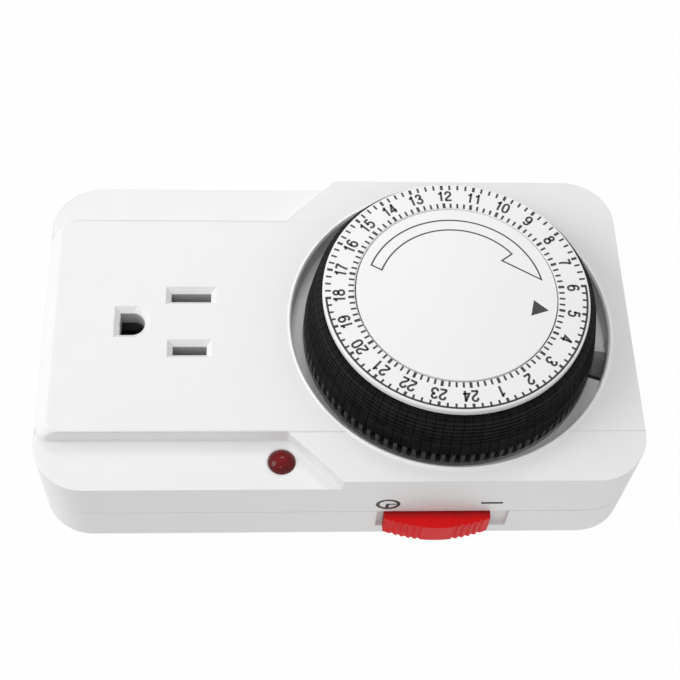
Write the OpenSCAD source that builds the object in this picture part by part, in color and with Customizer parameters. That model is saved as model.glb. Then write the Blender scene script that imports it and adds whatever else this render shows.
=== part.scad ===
// Plug-in 24 hour timer switch with a push-down tripper dial.
// The source is drawn lying on its back: x across, y from the earth pin to the
// dial, z out of the wall. upright() then stands each piece as it is used:
// +X across, -Y out of the wall, +Z up, origin between the plug blades.

/* [Housing] */
// Width of the housing
body_w = 72.2; // [71.4:0.1:76]
// Length of the housing
body_len = 121.3; // [120.5:0.1:126]
// Outlet centre to the earth-pin end of the housing
outlet_end = 30.3; // [29:0.1:32]
// Wall face to the raised deck
body_depth = 25.6; // [25.2:0.1:28]
// Radius of the four upright corners
corner_r = 10.4; // [9:0.1:12]
// Rounding of the back edge
back_round = 0.6; // [0.4:0.1:1.6]
// Thickness of the moulded walls
wall = 2.2; // [1.8:0.1:2.3]
// Depth of the back cover, up to the parting line
back_depth = 11.1; // [11:0.1:12]
// Height of the raised deck over the shoulders
shoulder_drop = 3.7; // [3:0.1:4]
// Width of the raised deck round the outlet
deck_w = 50.6; // [48:0.1:53]
// Well edge to the start of the slanted steps, along the housing
neck_gap = 0.95; // [0.5:0.05:2]
// Side of the housing to the round dial well
well_margin = 3.2; // [3:0.1:3.6]
// Extra margin of the well at the end of the housing
end_margin = 1.3; // [0.8:0.1:2]
// Run of the sloped end of the deck
deck_bevel = 2.75; // [1.5:0.05:3.2]
// Radius of the deck's two corners at the sloped end
deck_corner = 3.0; // [2:0.1:4]
// Step at the two creases of the dial deck
crease = 0.1; // [0.05:0.05:0.2]
// Fall of the dial deck from its crease to its edge
deck_fall = 0.25; // [0.1:0.05:0.4]

/* [Outlet and plug] */
// Spacing of the two blades and slots
blade_pitch = 12.7; // [12.7:0.1:12.7]
// Blade line to the earth pin
earth_off = 11.9; // [11.7:0.1:12.1]
// Length of the neutral slot
neutral_slot = 8.2; // [8:0.1:9]
// Length of the hot slot
hot_slot = 6.9; // [6.7:0.1:7.6]
// Width of the blade slots
slot_w = 2.0; // [1.9:0.1:2.2]
// Diameter of the earth hole
earth_hole_d = 5.2; // [5.1:0.1:5.5]
// Lead-in chamfer of the outlet openings
lead_in = 1.1; // [0.8:0.1:1.3]
// Reach of the blades out of the back
blade_len = 16.5; // [15.9:0.1:18]
// Thickness of a blade
blade_t = 1.5; // [1.4:0.05:1.6]
// Width of the neutral blade
neutral_w = 7.9; // [7.7:0.1:8]
// Width of the hot blade
hot_w = 6.35; // [6.2:0.05:6.6]
// Diameter of the earth pin
earth_d = 4.76; // [4.7:0.02:4.8]
// Extra reach of the earth pin past the blades
earth_extra = 3.0; // [2.5:0.1:3.4]
// Thickness of the brass strip
strip = 0.8; // [0.6:0.1:0.9]
// Thickness of the clip leaves
clip_t = 0.6; // [0.5:0.05:0.7]

/* [Dial] */
// Top of the dial over the deck
dial_rise = 11.46; // [11:0.02:12]
// Gap between the well wall and the comb
comb_gap = 2.7; // [2.5:0.05:3]
// Depth of the comb that holds the feet of the trippers
comb_depth = 5.2; // [5.1:0.05:5.4]
// Depth of a tripper head at its top
head_depth = 1.9; // [1.7:0.05:2.1]
// Width of the printed number ring
ring_w = 6.5; // [6.2:0.1:6.8]
// Thickness of the number ring
ring_t = 1.8; // [1.6:0.1:2.4]
// Gap between centre disc and number ring
disc_gap = 0.2; // [0.15:0.05:0.3]
// Depth of the well under the deck
well_depth = 5.2; // [5:0.1:5.4]
// Width of the chamfer round the well
well_lip = 0.3; // [0.2:0.1:0.8]
// Top of the comb under the deck
comb_drop = 0.84; // [0.7:0.02:1]
// Trippers round the dial, four to the hour
trippers = 96; // [96:24:96]
// Travel of a tripper
tripper_travel = 2.6; // [2.2:0.1:2.7]
// Reach of a tripper head past the number ring
head_over = 1.5; // [1.3:0.05:1.6]
// Gap between two tripper heads
tripper_gap = 0.12; // [0.1:0.01:0.2]
// Thickness of a tripper foot
foot_t = 0.8; // [0.6:0.05:0.9]

/* [Override slider] */
// Length of the slider along the housing
slider_len = 21.6; // [20:0.1:22]
// Height of the slider
slider_h = 6.4; // [5.8:0.1:6.6]
// Reach of the slider out of the side at its middle
slider_reach = 3.5; // [3:0.1:4]
// Fall of the slider's curved edge at its ends
slider_bow = 2.1; // [1.5:0.1:2.5]
// Travel of the slider
slider_travel = 3.0; // [2.6:0.1:3.2]
// Window start, from the dial centre back towards the outlet
window_back = 15.6; // [15:0.1:16]
// Window length
window_len = 26.9; // [26.5:0.1:27.3]

/* [Indicator] */
// Radius of the round lens
lens_r = 2.65; // [2.4:0.05:2.8]
// Height of the lens dome
lens_dome = 1.3; // [0.9:0.1:1.8]
// Lens centre to the side of the housing
lens_side = 6.0; // [5.9:0.05:6.3]
// Lens centre to the start of the slanted steps
lens_step = 1.15; // [0.8:0.05:2.5]

/* [Movement] */
// Module of the train gears
train_m = 0.4; // [0.39:0.01:0.41]
// Teeth of the train wheels
wheel_teeth = 50; // [50:1:50]
// Teeth of the train pinions
pinion_teeth = 10; // [10:1:10]
// Teeth of the clutch wheel
clutch_teeth = 60; // [60:1:60]
// Teeth of the dial gear
dial_teeth = 66; // [66:1:66]
// Teeth of the drive pinion
drive_teeth = 12; // [12:1:12]
// Play between meshing teeth
backlash = 0.12; // [0.1:0.01:0.14]
// Radius of the gear arbors
arbor_r = 0.75; // [0.7:0.01:0.8]
// Running clearance on the radius of a shaft
run = 0.05; // [0.04:0.01:0.08]
// Radius of the motor as a share of half the body width
motor_share = 0.443; // [0.42:0.001:0.455]
// Thickness of the steel movement plate
plate_t = 1.2; // [1:0.1:1.3]
// Swing of the follower lever from off to on, in degrees
lever_swing = 4.9; // [4.5:0.1:5]

/* [Hidden] */

$fn = 64;
EPS = 0.01;          // overlap that fuses two parts of one piece
SEAT = 0.3;          // gap of a piece that is only laid beside its carrier
FIT = 0.1;           // gap of a piece that drops into its seat
PIN = 0.02;          // gap round a fixed pin

// Heights, from the wall face out
deck_z = body_depth;
shoulder_z = deck_z - shoulder_drop;
well_z = deck_z - well_depth;
floor_t = 1.6;
floor_z = well_z - floor_t;
groove_z = well_z - 2.0;
pan_z = groove_z - 1.4;
train_h = 3.6;
plate_top = pan_z - train_h;
plate_z = plate_top - plate_t;
dial_z = deck_z + dial_rise;
ring_z = dial_z - ring_t;
comb_z = well_z + 1.0;
comb_band = 0.6;
comb_top = deck_z - comb_drop;
head_top = ring_z - 0.16;
head_z = comb_top + tripper_travel + 0.2;
skirt_z = comb_z + comb_band + tripper_travel + 0.2;
foot_z = comb_z + 0.26;

// Plan sizes
half_w = body_w / 2;
low_y = -outlet_end;
high_y = body_len - outlet_end;
well_r = half_w - well_margin;
dial_y = high_y - half_w - end_margin;
dial_c = [0, dial_y];
deck_neck = dial_y - well_r - neck_gap;
lens_x = half_w - lens_side;
lens_y = deck_neck - lens_step;
comb_r = well_r - comb_gap;
drum_r = comb_r - comb_depth;
ring_r = drum_r + head_depth;
disc_r = ring_r - ring_w - disc_gap;
window_y = dial_y - window_back;
well_wall = 1.8;
drum_t = 1.1;
drum_in = drum_r - drum_t;
groove_in = drum_r;
groove_out = comb_r + 0.2;
head_in = drum_r + 0.15;
foot_in = drum_r + 0.3;
guide_r = comb_r - 1.3;   // comb inside the skirts of the trippers
slot_gap = 0.1;      // side play of a foot in the comb
step = 360 / trippers;
spindle_r = 6;
hub_r = spindle_r + 2.5;
ledge_t = 0.6;
stem_r = 4;
stem_flat = 3.25;

motor_r = motor_share * half_w;

// Thicker root of the earth pin and how far it stands out of the back
root_r = earth_d / 2 + 0.2;
pin_root = 0.15;

// Places of the train, from the drive pinion to the motor
wheel_r = train_m * wheel_teeth / 2;
pinion_r = train_m * pinion_teeth / 2;
clutch_r = train_m * clutch_teeth / 2;
tip_add = 0.9;
dial_m = (drum_in - ledge_t - 0.35) / (dial_teeth / 2 + drive_teeth + tip_add);
dial_gear_r = dial_m * dial_teeth / 2;
drive_r = dial_m * drive_teeth / 2;
train_arm = wheel_r + pinion_r;
second_dir = 135;
first_dir = 75;
rotor_dir = 110;
function polar(c, r, a) = c + r * [cos(a), sin(a)];
drive_c = dial_c - [0, dial_gear_r + drive_r];
second_c = polar(drive_c, clutch_r + pinion_r, second_dir);
first_c = polar(second_c, train_arm, first_dir);
rotor_c = polar(first_c, train_arm, rotor_dir);
low_wheel_z = plate_top + 0.3;
mid_wheel_z = plate_top + 1.4;
high_wheel_z = plate_top + 2.5;
wheel_t = 0.8;

// Fixings
screw_r = 1.4;
screw_head_r = 2.8;
pilot = 0.05;
post_r = 3.2;
back_post_r = 4.2;
cover_screw_c = [[9.1 - half_w, low_y + 9.1], [half_w - 9.1, low_y + 9.1],
                 [7.8 - half_w, high_y - 8.2], [half_w - 7.8, high_y - 8.2]];
post_z = 8.2;
plate_screw_r = 1.25;
plate_screw_c = [dial_c + [-24, -9.6], dial_c + [9, 14.4], dial_c + [14, -29.6]];

// Follower lever, its head under the trippers and its arm along the slider
head_dir = 16;
head_from = 9.4;
head_to = 17.6;
head_near = comb_r + 0.3;
head_far = head_near + 3.1;
head_rise_z = deck_z - 3.4;
pivot_post = 6.02;   // across, from the pivot to the screw post beside it
head_c = dial_c + (head_near + 1.5) * [sin(head_dir), cos(head_dir)];
pivot_arm = (cover_screw_c[3][0] - pivot_post - head_c[0]) / cos(head_dir);
pivot_c = head_c + pivot_arm * [cos(head_dir), -sin(head_dir)];
pivot_r = 1.0;
lever_hub_r = 2.5;
spring_r = 2.25;
wire_r = 0.25;
lever_t = 1.8;
lever_z = pan_z - lever_t - 0.3;
cam_c = pivot_c + [4.2, -22];
finger_c = pivot_c + [4.15, -18.5];
finger_r = 1.2;
cam_follower_r = 1.5;
swing_rad = lever_swing * PI / 180;
cam_angle = atan(swing_rad * 22 / (slider_travel + swing_rad * 4.2));
window_from = 5;
window_to = 19.8;
floor_slot_from = 8.1;

// Switch
leaf_t = 0.4;
leaf_face = finger_c[0] - finger_r - SEAT;
leaf_len = 29;
leaf_tab = 7;
leaf_hinge = [leaf_face - leaf_t / 2, finger_c[1] - leaf_len];
leaf_end = finger_c[1] + 2.5;
leaf_h = 4;
leaf_z = 5;
contact_y = finger_c[1] - 5;
contact_r = 1.6;
contact_t = 0.8;
leaf_swing = lever_swing * 18.5 / leaf_len;
contact_gap = tan(leaf_swing) * (contact_y - leaf_hinge[1]) + 0.12;
fixed_face = leaf_face - leaf_t - contact_t - contact_gap - contact_t;

// Slider
slider_z = back_depth - 0.4 - slider_h;
slider_y = window_y + 1.4;
slider_mid = slider_y + slider_len / 2;
recess_x = half_w - 0.9;
panel_t = 3.2;
stem_len = 7.6;
stem_h = 3.8;
flange_t = 2.2;
flange_x = recess_x - panel_t - SEAT - flange_t;
slider_arc_r = (pow(slider_len / 2, 2) + pow(slider_bow, 2)) / (2 * slider_bow);
window_z = slider_z - 0.3;

// Stands a piece up as it is used
module upright() rotate([90, 0, 0]) children();
module at(c, z = 0) translate([c[0], c[1], z]) children();
// A block between two corners
module block(a, b) translate(a) cube(b - a);

// Rounded outline of the housing, drawn inwards by inset
module outline(inset = 0) {
    r = corner_r - inset;
    x = half_w - inset;
    y0 = low_y + inset;
    y1 = high_y - inset;
    translate([-x + r, y0]) square([2 * (x - r), y1 - y0]);
    translate([-x, y0 + r]) square([2 * x, y1 - y0 - 2 * r]);
    for (sx = [-1, 1], y = [y0 + r, y1 - r]) translate([sx * (x - r), y]) circle(r);
}

// Plan of the raised deck: narrow round the outlet, full width round the dial
module deck_plan(inset = 0) {
    w = deck_w / 2 - inset;
    full = half_w + 1 - inset;
    neck = deck_neck + inset;
    polygon([[-w, low_y - 1], [w, low_y - 1], [w, neck], [full, neck + full - w],
             [full, high_y + 1], [-full, high_y + 1], [-full, neck + full - w], [-w, neck]]);
}

// Ring between two radii round the dial centre
module ring(r1, r2, z1, z2) at(dial_c, z1) linear_extrude(z2 - z1) difference() {
    circle(r2);
    circle(r1);
}

// Sector between two radii; angles run from +y towards +x
module sector(r1, r2, a1, a2, z1, z2) at(dial_c, z1) rotate(90 - a2)
    rotate_extrude(angle = a2 - a1) translate([r1, 0]) square([r2 - r1, z2 - z1]);

// Four-sided opening, wider at the top by flare on every side
module funnel(w, l, z1, z2, flare) intersection() {
    translate([0, l, 0]) rotate([90, 0, 0]) linear_extrude(2 * l)
        polygon([[-w / 2, z1], [w / 2, z1], [w / 2 + flare, z2], [-w / 2 - flare, z2]]);
    translate([-w - flare * 2, 0, 0]) rotate([90, 0, 90]) linear_extrude(2 * w + flare * 4)
        polygon([[-l / 2, z1], [l / 2, z1], [l / 2 + flare, z2], [-l / 2 - flare, z2]]);
}

// ---------------------------------------------------------------- housing

module front_body() difference() {
    union() {
        translate([0, 0, back_depth]) linear_extrude(shoulder_z - back_depth) outline();
        translate([0, 0, shoulder_z]) linear_extrude(shoulder_drop) intersection() {
            outline();
            deck_plan();
        }
    }
    // sloped end of the deck
    translate([-half_w, low_y, shoulder_z]) rotate([90, 0, 90]) linear_extrude(body_w)
        polygon([[-1, 0], [0, 0], [deck_bevel, shoulder_drop],
                 [deck_bevel, shoulder_drop + 1], [-1, shoulder_drop + 1]]);
    // round corners of the sloped end, upright at the foot and following the slope above
    for (s = [0, 1]) mirror([s, 0, 0]) {
        x = deck_w / 2 - deck_corner;
        cone_r = deck_corner + deck_bevel;
        translate([0, 0, shoulder_z]) difference() {
            block([x, low_y - 1, 0], [deck_w / 2 + 1, low_y + deck_corner, shoulder_drop + 1]);
            translate([x, low_y + deck_corner, -1]) cylinder(r = deck_corner, h = shoulder_drop + 3);
        }
        translate([0, 0, shoulder_z]) difference() {
            block([x, low_y - 1, 0], [deck_w / 2 + 1, low_y + cone_r, shoulder_drop + 1]);
            translate([x, low_y + cone_r, 0])
                cylinder(r1 = cone_r, r2 = deck_corner, h = shoulder_drop);
            translate([x, low_y + cone_r, shoulder_drop - EPS])
                cylinder(r = deck_corner, h = 3);
        }
    }
    // slight fall of the dial deck beside its two creases
    for (s = [0, 1]) mirror([s, 0, 0]) translate([0, high_y + 1, deck_z]) rotate([90, 0, 0])
        linear_extrude(high_y + 1 - deck_neck)
        polygon([[deck_w / 2, -crease], [half_w + 1, -deck_fall], [half_w + 1, 1],
                 [deck_w / 2, 1]]);
}

module front_cavity() {
    translate([0, 0, back_depth - 1]) linear_extrude(shoulder_z - wall - back_depth + 1)
        outline(wall);
    translate([0, 0, back_depth]) linear_extrude(deck_z - wall - back_depth) intersection() {
        outline(wall);
        deck_plan(wall);
        translate([-half_w, low_y + deck_bevel + wall]) square([body_w, body_len]);
    }
}

// Well wall, floor and the pan of the groove that the pushed feet run in
module well_shell() {
    at(dial_c, floor_z) cylinder(r = well_r + well_wall, h = deck_z - 1 - floor_z);
    ring(groove_in - 1.4, groove_out + 1.4, pan_z, floor_z + EPS);
    at(dial_c, floor_z) cylinder(r = spindle_r, h = comb_top + 2.2 - floor_z);
}

module well_void() {
    difference() {
        union() {
            at(dial_c, well_z) cylinder(r = well_r, h = deck_z - well_z + 1);
            at(dial_c, deck_z - well_lip) cylinder(r1 = well_r, r2 = well_r + well_lip + EPS,
                                                   h = well_lip + EPS);
        }
        at(dial_c, floor_z) cylinder(r = spindle_r, h = comb_top + 2.2 - floor_z);
    }
    ring(groove_in, groove_out, groove_z, well_z + 1);
    // keyed bore for the stem of the centre disc, and its screw hole
    at(dial_c, well_z) linear_extrude(comb_top + 3 - well_z) intersection() {
        circle(stem_r);
        translate([-stem_r, -stem_r]) square([stem_r + stem_flat, 2 * stem_r]);
    }
    at(dial_c, floor_z - 1) cylinder(r = plate_screw_r + FIT, h = floor_t + 2);
    // hole for the drive pinion
    at(drive_c, floor_z - 1) cylinder(r = drive_r + dial_m + SEAT, h = floor_t + 2);
    // window in the well wall and slot in the floor for the follower lever
    sector(well_r - 1, well_r + well_wall + SEAT, window_from, window_to,
           well_z, deck_z - 1.6);
    sector(groove_out - EPS, well_r + well_wall + 0.6, floor_slot_from, window_to,
           pan_z - 1, well_z + 1);
}

// Moulded tubes that guide the blades into their clips
module outlet_guides() {
    guide_z = deck_z - wall - 2.6;
    for (s = [[-1, neutral_slot], [1, hot_slot]])
        translate([s[0] * blade_pitch / 2 - slot_w / 2 - 1.2, -s[1] / 2 - 1.2, guide_z])
            cube([slot_w + 2.4, s[1] + 2.4, 3]);
    translate([0, -earth_off, guide_z]) cylinder(r = earth_hole_d / 2 + 1.6, h = 3);
}

module outlet_openings() {
    top = deck_z + EPS;
    for (s = [[-1, neutral_slot], [1, hot_slot]]) translate([s[0] * blade_pitch / 2, 0, 0]) {
        translate([-slot_w / 2, -s[1] / 2, deck_z - wall - 4]) cube([slot_w, s[1], wall + 5]);
        funnel(slot_w, s[1], deck_z - lead_in, top, lead_in);
    }
    translate([0, -earth_off, 0]) {
        r = earth_hole_d / 2;
        translate([0, 0, deck_z - wall - 4]) cylinder(r = r, h = wall + 5);
        block([-r, -r + 0.1, deck_z - wall - 4], [r, 0, top]);
        translate([0, 0, deck_z - lead_in])
            cylinder(r1 = r, r2 = r + lead_in + EPS, h = lead_in + EPS);
        translate([0, -(r - 0.1) / 2, 0]) funnel(2 * r, r - 0.1, deck_z - lead_in, top, lead_in);
    }
}

module front_cover() upright() color("white") difference() {
    union() {
        difference() {
            front_body();
            front_cavity();
        }
        well_shell();
        outlet_guides();
        for (c = cover_screw_c) at(c, post_z)
            cylinder(r = post_r, h = (c[1] > 0 ? deck_z : shoulder_z) - wall + EPS - post_z);
        for (c = plate_screw_c) at(c, plate_top) cylinder(r = 3, h = floor_z + EPS - plate_top);
        for (c = [first_c, second_c, rotor_c])
            at(c, floor_z - 1.2) cylinder(r = 1.8, h = 1.2 + EPS);
        at(pivot_c, lever_z + lever_t + SEAT)
            cylinder(r = lever_hub_r, h = floor_z + 1 - lever_z - lever_t - SEAT);
    }
    well_void();
    outlet_openings();
    translate([lens_x, lens_y, shoulder_z - wall - 1]) cylinder(r = lens_r + FIT, h = wall + 2);
    for (c = cover_screw_c)
        at(c, post_z - 1) cylinder(r = screw_r + pilot, h = 12);
    for (c = plate_screw_c) at(c, plate_top - 1) cylinder(r = plate_screw_r + pilot, h = 4.6);
    for (c = [first_c, second_c, rotor_c])
        at(c, floor_z - 2) cylinder(r = arbor_r + PIN, h = 2.8);
    at(pivot_c, lever_z) cylinder(r = pivot_r + PIN, h = floor_z + 0.2 - lever_z);
}

// Slab of the housing outline whose lower edge is rounded
module rounded_slab(h) {
    f = back_round;
    translate([0, 0, f]) linear_extrude(h - f) outline();
    linear_extrude(f + EPS) outline(f);
    for (sx = [-1, 1]) translate([sx * (half_w - f), low_y + corner_r, f])
        rotate([-90, 0, 0]) cylinder(r = f, h = body_len - 2 * corner_r);
    for (y = [low_y + f, high_y - f]) translate([-half_w + corner_r, y, f])
        rotate([0, 90, 0]) cylinder(r = f, h = body_w - 2 * corner_r);
    for (sx = [-1, 1], y = [low_y + corner_r, high_y - corner_r])
        translate([sx * (half_w - corner_r), y, f])
            rotate_extrude() translate([corner_r - f, 0]) circle(f);
}

module back_cover() upright() color("white") difference() {
    union() {
        difference() {
            rounded_slab(back_depth);
            translate([0, 0, wall]) linear_extrude(back_depth) outline(wall);
        }
        // inner lip that keys into the front cover
        translate([0, 0, back_depth - 1.5]) linear_extrude(2.7) difference() {
            outline(wall + FIT);
            outline(wall + 1.1);
        }
        translate([0, 0, back_depth - 1.5]) linear_extrude(1.5) difference() {
            outline(wall - 0.2);
            outline(wall + 1.1);
        }
        for (c = cover_screw_c)
            at(c, wall - EPS) cylinder(r = back_post_r, h = post_z - FIT - wall);
        // panel behind the slider window
        block([recess_x - panel_t, window_y - 2, wall - EPS],
              [half_w - 1, window_y + window_len + 2, back_depth]);
        // rib under the load strap and cradle of the lamp
        block([blade_pitch / 2 - 2, 6.2, wall - EPS], [blade_pitch / 2 + 2, 7.6, leaf_z]);
        translate([lens_x, lens_y, wall - EPS]) cylinder(r = 2.6, h = 6);
        for (dy = [-7.5, -12.5])
            block([lens_x - 2, lens_y + dy - 0.6, wall - EPS], [lens_x + 2, lens_y + dy + 0.6, 5.2]);
    }
    // blade and pin openings
    for (s = [[-1, neutral_w], [1, hot_w]])
        translate([s[0] * blade_pitch / 2 - blade_t / 2 - PIN, -s[1] / 2 - PIN, -1])
            cube([blade_t + 2 * PIN, s[1] + 2 * PIN, wall + 2]);
    translate([0, -earth_off, -1]) cylinder(r = root_r + PIN, h = wall + 2);
    // recessed screw holes
    for (c = cover_screw_c) {
        at(c, -1) cylinder(r = screw_head_r + 0.3, h = 4.4);
        at(c, 0) cylinder(r = screw_r + 0.15, h = post_z + 1);
    }
    // slider window, the slot behind it, and room for the slider inside the lip
    block([recess_x, window_y, window_z], [half_w + 1, window_y + window_len, back_depth + 2]);
    block([recess_x - panel_t - 1, slider_mid - stem_len / 2 - 0.2, slider_z + 1.1],
          [recess_x + 1, slider_mid + stem_len / 2 + slider_travel + 0.2,
           slider_z + 1.5 + stem_h]);
    block([flange_x - 1, window_y - 2, back_depth],
          [half_w - wall, window_y + window_len + 2, back_depth + 2]);
}

module cover_screws() upright() color("silver") for (c = cover_screw_c) at(c) difference() {
    union() {
        translate([0, 0, 1.4]) cylinder(r = screw_head_r, h = 2);
        translate([0, 0, 3.4 - EPS]) cylinder(r = screw_r, h = 14);
    }
    for (a = [0, 90]) rotate(a) translate([-0.4, -1.6, 1]) cube([0.8, 3.2, 1.4]);
}

module indicator_lens() upright() color("red") translate([lens_x, lens_y, 0]) {
    dome_r = (lens_r * lens_r + lens_dome * lens_dome) / (2 * lens_dome);
    translate([0, 0, shoulder_z - wall - 1]) cylinder(r = lens_r + 0.7, h = 1);
    translate([0, 0, shoulder_z - wall - EPS]) cylinder(r = lens_r, h = wall + EPS);
    intersection() {
        translate([0, 0, shoulder_z + lens_dome - dome_r]) sphere(dome_r);
        translate([0, 0, shoulder_z - EPS]) cylinder(r = lens_r, h = 5);
    }
}

module neon_lamp() upright() color("orange") translate([lens_x, lens_y, wall + 6 + SEAT]) {
    tube = shoulder_z - wall - 1 - SEAT - (wall + 6 + SEAT);
    cylinder(r = 1.9, h = tube - 1.9);
    translate([0, 0, tube - 1.9]) sphere(1.9);
}

module neon_resistor() upright() color("tan")
    translate([lens_x, lens_y - 7, 5.2 + 1.2 + PIN]) rotate([90, 0, 0]) {
        cylinder(r = 1.2, h = 6);
        translate([0, 0, -1.4]) cylinder(r = 0.3, h = 8.8);
    }

// ---------------------------------------------------------------- outlet and plug

// Two sprung leaves on a base strip, open towards the outlet
module clip(w, gap, z0, z1) {
    block([-gap / 2 - clip_t - 1, -w / 2, z0], [gap / 2 + clip_t + 1, w / 2, z0 + strip]);
    for (s = [0, 1]) mirror([s, 0, 0]) translate([0, w / 2, 0]) rotate([90, 0, 0])
        linear_extrude(w)
        polygon([[gap / 2, z0 + EPS], [gap / 2 + clip_t, z0 + EPS], [gap / 2 + clip_t, z1 - 2],
                 [gap / 2 + clip_t + 0.7, z1], [gap / 2 + 0.7, z1], [gap / 2, z1 - 2]]);
}

// Flat blade with a slanted tip, a hole near the tip and a foot inside the back cover
module blade(w) difference() {
    union() {
        translate([blade_t / 2, 0, 0]) rotate([0, -90, 0]) linear_extrude(blade_t)
            polygon([[wall + EPS, -w / 2], [wall + EPS, w / 2], [1.2 - blade_len, w / 2],
                     [-blade_len, w / 2 - 1.4], [-blade_len, 1.4 - w / 2],
                     [1.2 - blade_len, -w / 2]]);
        block([-2.6, -w / 2 - 0.4, wall], [2.6, w / 2 + 0.4, wall + strip]);
    }
    translate([-2, 0, 4 - blade_len]) rotate([0, 90, 0]) cylinder(r = 1.6, h = 4);
}

clip_top = deck_z - wall - 3.2;
module neutral_contact() upright() color("gold") translate([-blade_pitch / 2, 0, 0])
    clip(neutral_slot, blade_t - 0.1, wall + strip, clip_top);

module hot_contact() upright() color("gold") {
    translate([blade_pitch / 2, 0, 0]) clip(hot_slot, blade_t - 0.1, leaf_z, clip_top);
    arm_x = fixed_face - strip;
    y = leaf_hinge[1];
    translate([0, 0, leaf_z]) linear_extrude(strip) polygon([
        [blade_pitch / 2 - 2, 3], [blade_pitch / 2 + 2, 3], [blade_pitch / 2 + 2, 8],
        [fixed_face, y - 3], [fixed_face, y + 3], [arm_x - 3, y + 3], [arm_x - 3, y - 2],
        [blade_pitch / 2 - 2, 10]]);
    block([arm_x, y, leaf_z], [fixed_face, contact_y + 2.5, leaf_z + leaf_h]);
    // domed contact pressed out of the strap
    translate([fixed_face - EPS, contact_y, leaf_z + leaf_h / 2]) rotate([0, 90, 0])
        cylinder(r = contact_r, h = contact_t + EPS);
}

module ground_contact() upright() color("gold") translate([0, -earth_off, 0])
    clip(5, 4.4, wall + strip, clip_top);

module neutral_blade() upright() color("gold") translate([-blade_pitch / 2, 0, 0])
    blade(neutral_w);

// The hot blade carries the strap that feeds the switch leaf
module hot_blade() upright() color("gold") {
    tab_x = leaf_face - leaf_t - strip;
    y = leaf_hinge[1];
    translate([blade_pitch / 2, 0, 0]) blade(hot_w);
    translate([0, 0, wall]) linear_extrude(strip) polygon([
        [blade_pitch / 2 + 2, -3], [blade_pitch / 2 + 6, -3], [tab_x + strip, y - 8],
        [tab_x + strip, y], [tab_x - 3, y], [tab_x - 3, y - 6], [blade_pitch / 2 + 2, 5]]);
    block([tab_x, y - leaf_tab, wall], [tab_x + strip, y, leaf_z + leaf_h]);
}

module ground_pin() upright() color("gold") translate([0, -earth_off, 0]) {
    reach = blade_len + earth_extra;
    r = earth_d / 2;
    translate([0, 0, r - reach]) cylinder(r = r, h = reach - r - pin_root);
    translate([0, 0, r - reach]) sphere(r);
    translate([0, 0, -pin_root - EPS]) cylinder(r = root_r, h = wall + pin_root + 2 * EPS);
    translate([0, 0, wall]) cylinder(r = 4, h = strip);
}

// ---------------------------------------------------------------- switch and slider

module moving_leaf() upright() color("peru")
    block([leaf_face - leaf_t, leaf_hinge[1] - leaf_tab + 0.4, leaf_z],
          [leaf_face, leaf_end, leaf_z + leaf_h]);

module moving_contact() upright() color("silver") {
    translate([leaf_face - leaf_t - contact_t, contact_y, leaf_z + leaf_h / 2])
        rotate([0, 90, 0]) cylinder(r = contact_r, h = contact_t);
}

module override_slider() upright() color("red") {
    x_arc = half_w + slider_reach - slider_arc_r;
    difference() {
        intersection() {
            block([recess_x + SEAT, slider_y, slider_z],
                  [half_w + slider_reach, slider_y + slider_len, slider_z + slider_h]);
            translate([x_arc, slider_mid, slider_z - 1])
                cylinder(r = slider_arc_r, h = slider_h + 2, $fn = 128);
        }
        // finger grooves on both sides of the smooth middle
        for (s = [-1, 1], i = [0 : 4]) translate([x_arc, slider_mid, slider_z - 1])
            rotate(s * (7.2 + i * 2.7)) translate([slider_arc_r + 0.15, 0, 0])
            cylinder(r = 0.45, h = slider_h + 2, $fn = 24);
    }
    block([flange_x + flange_t - EPS, slider_mid - stem_len / 2, slider_z + 1.3],
          [recess_x + SEAT + EPS, slider_mid + stem_len / 2, slider_z + 1.3 + stem_h]);
    difference() {
        block([flange_x, slider_mid - 8, slider_z + 0.3],
              [flange_x + flange_t, slider_mid + 8, slider_z + slider_h - 0.3]);
        // two detent notches
        for (dy = [0, -slider_travel]) translate([flange_x - 1, slider_mid + dy, slider_z + 0.3])
            rotate([0, 90, 0]) cylinder(r = 0.7, h = flange_t + 2, $fn = 24);
    }
    // cam post that swings the lever
    difference() {
        block([cam_c[0] - 1, cam_c[1] - 7, slider_z + slider_h - 1.2],
              [flange_x + flange_t, cam_c[1] + 1, lever_z + lever_t - 0.1]);
        translate([cam_c[0], cam_c[1], slider_z]) rotate(-cam_angle)
            translate([-10, -20, 0]) cube([10 + cam_follower_r + SEAT, 40, 20]);
    }
}

// Bent strip whose hump clicks into the notches of the slider
module slider_spring() upright() color("silver") {
    t = 0.35;
    top = slider_z + 0.3 - run - wall;
    translate([flange_x + 0.2, slider_mid, wall]) rotate([90, 0, 90]) linear_extrude(1.8)
        polygon([[-12, 0], [-4.2, 0], [-0.6, top - t], [0.6, top - t], [4.2, 0], [12, 0],
                 [12, t], [4.4, t], [0.8, top], [-0.8, top], [-4.4, t], [-12, t]]);
}

// Straight bar between two points, in plan
module bar(a, b, w1, w2) {
    d = b - a;
    n = norm(d);
    translate(a) rotate(atan2(d[1], d[0])) polygon([[0, -w1], [n, -w2], [n, w2], [0, w1]]);
}

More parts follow.
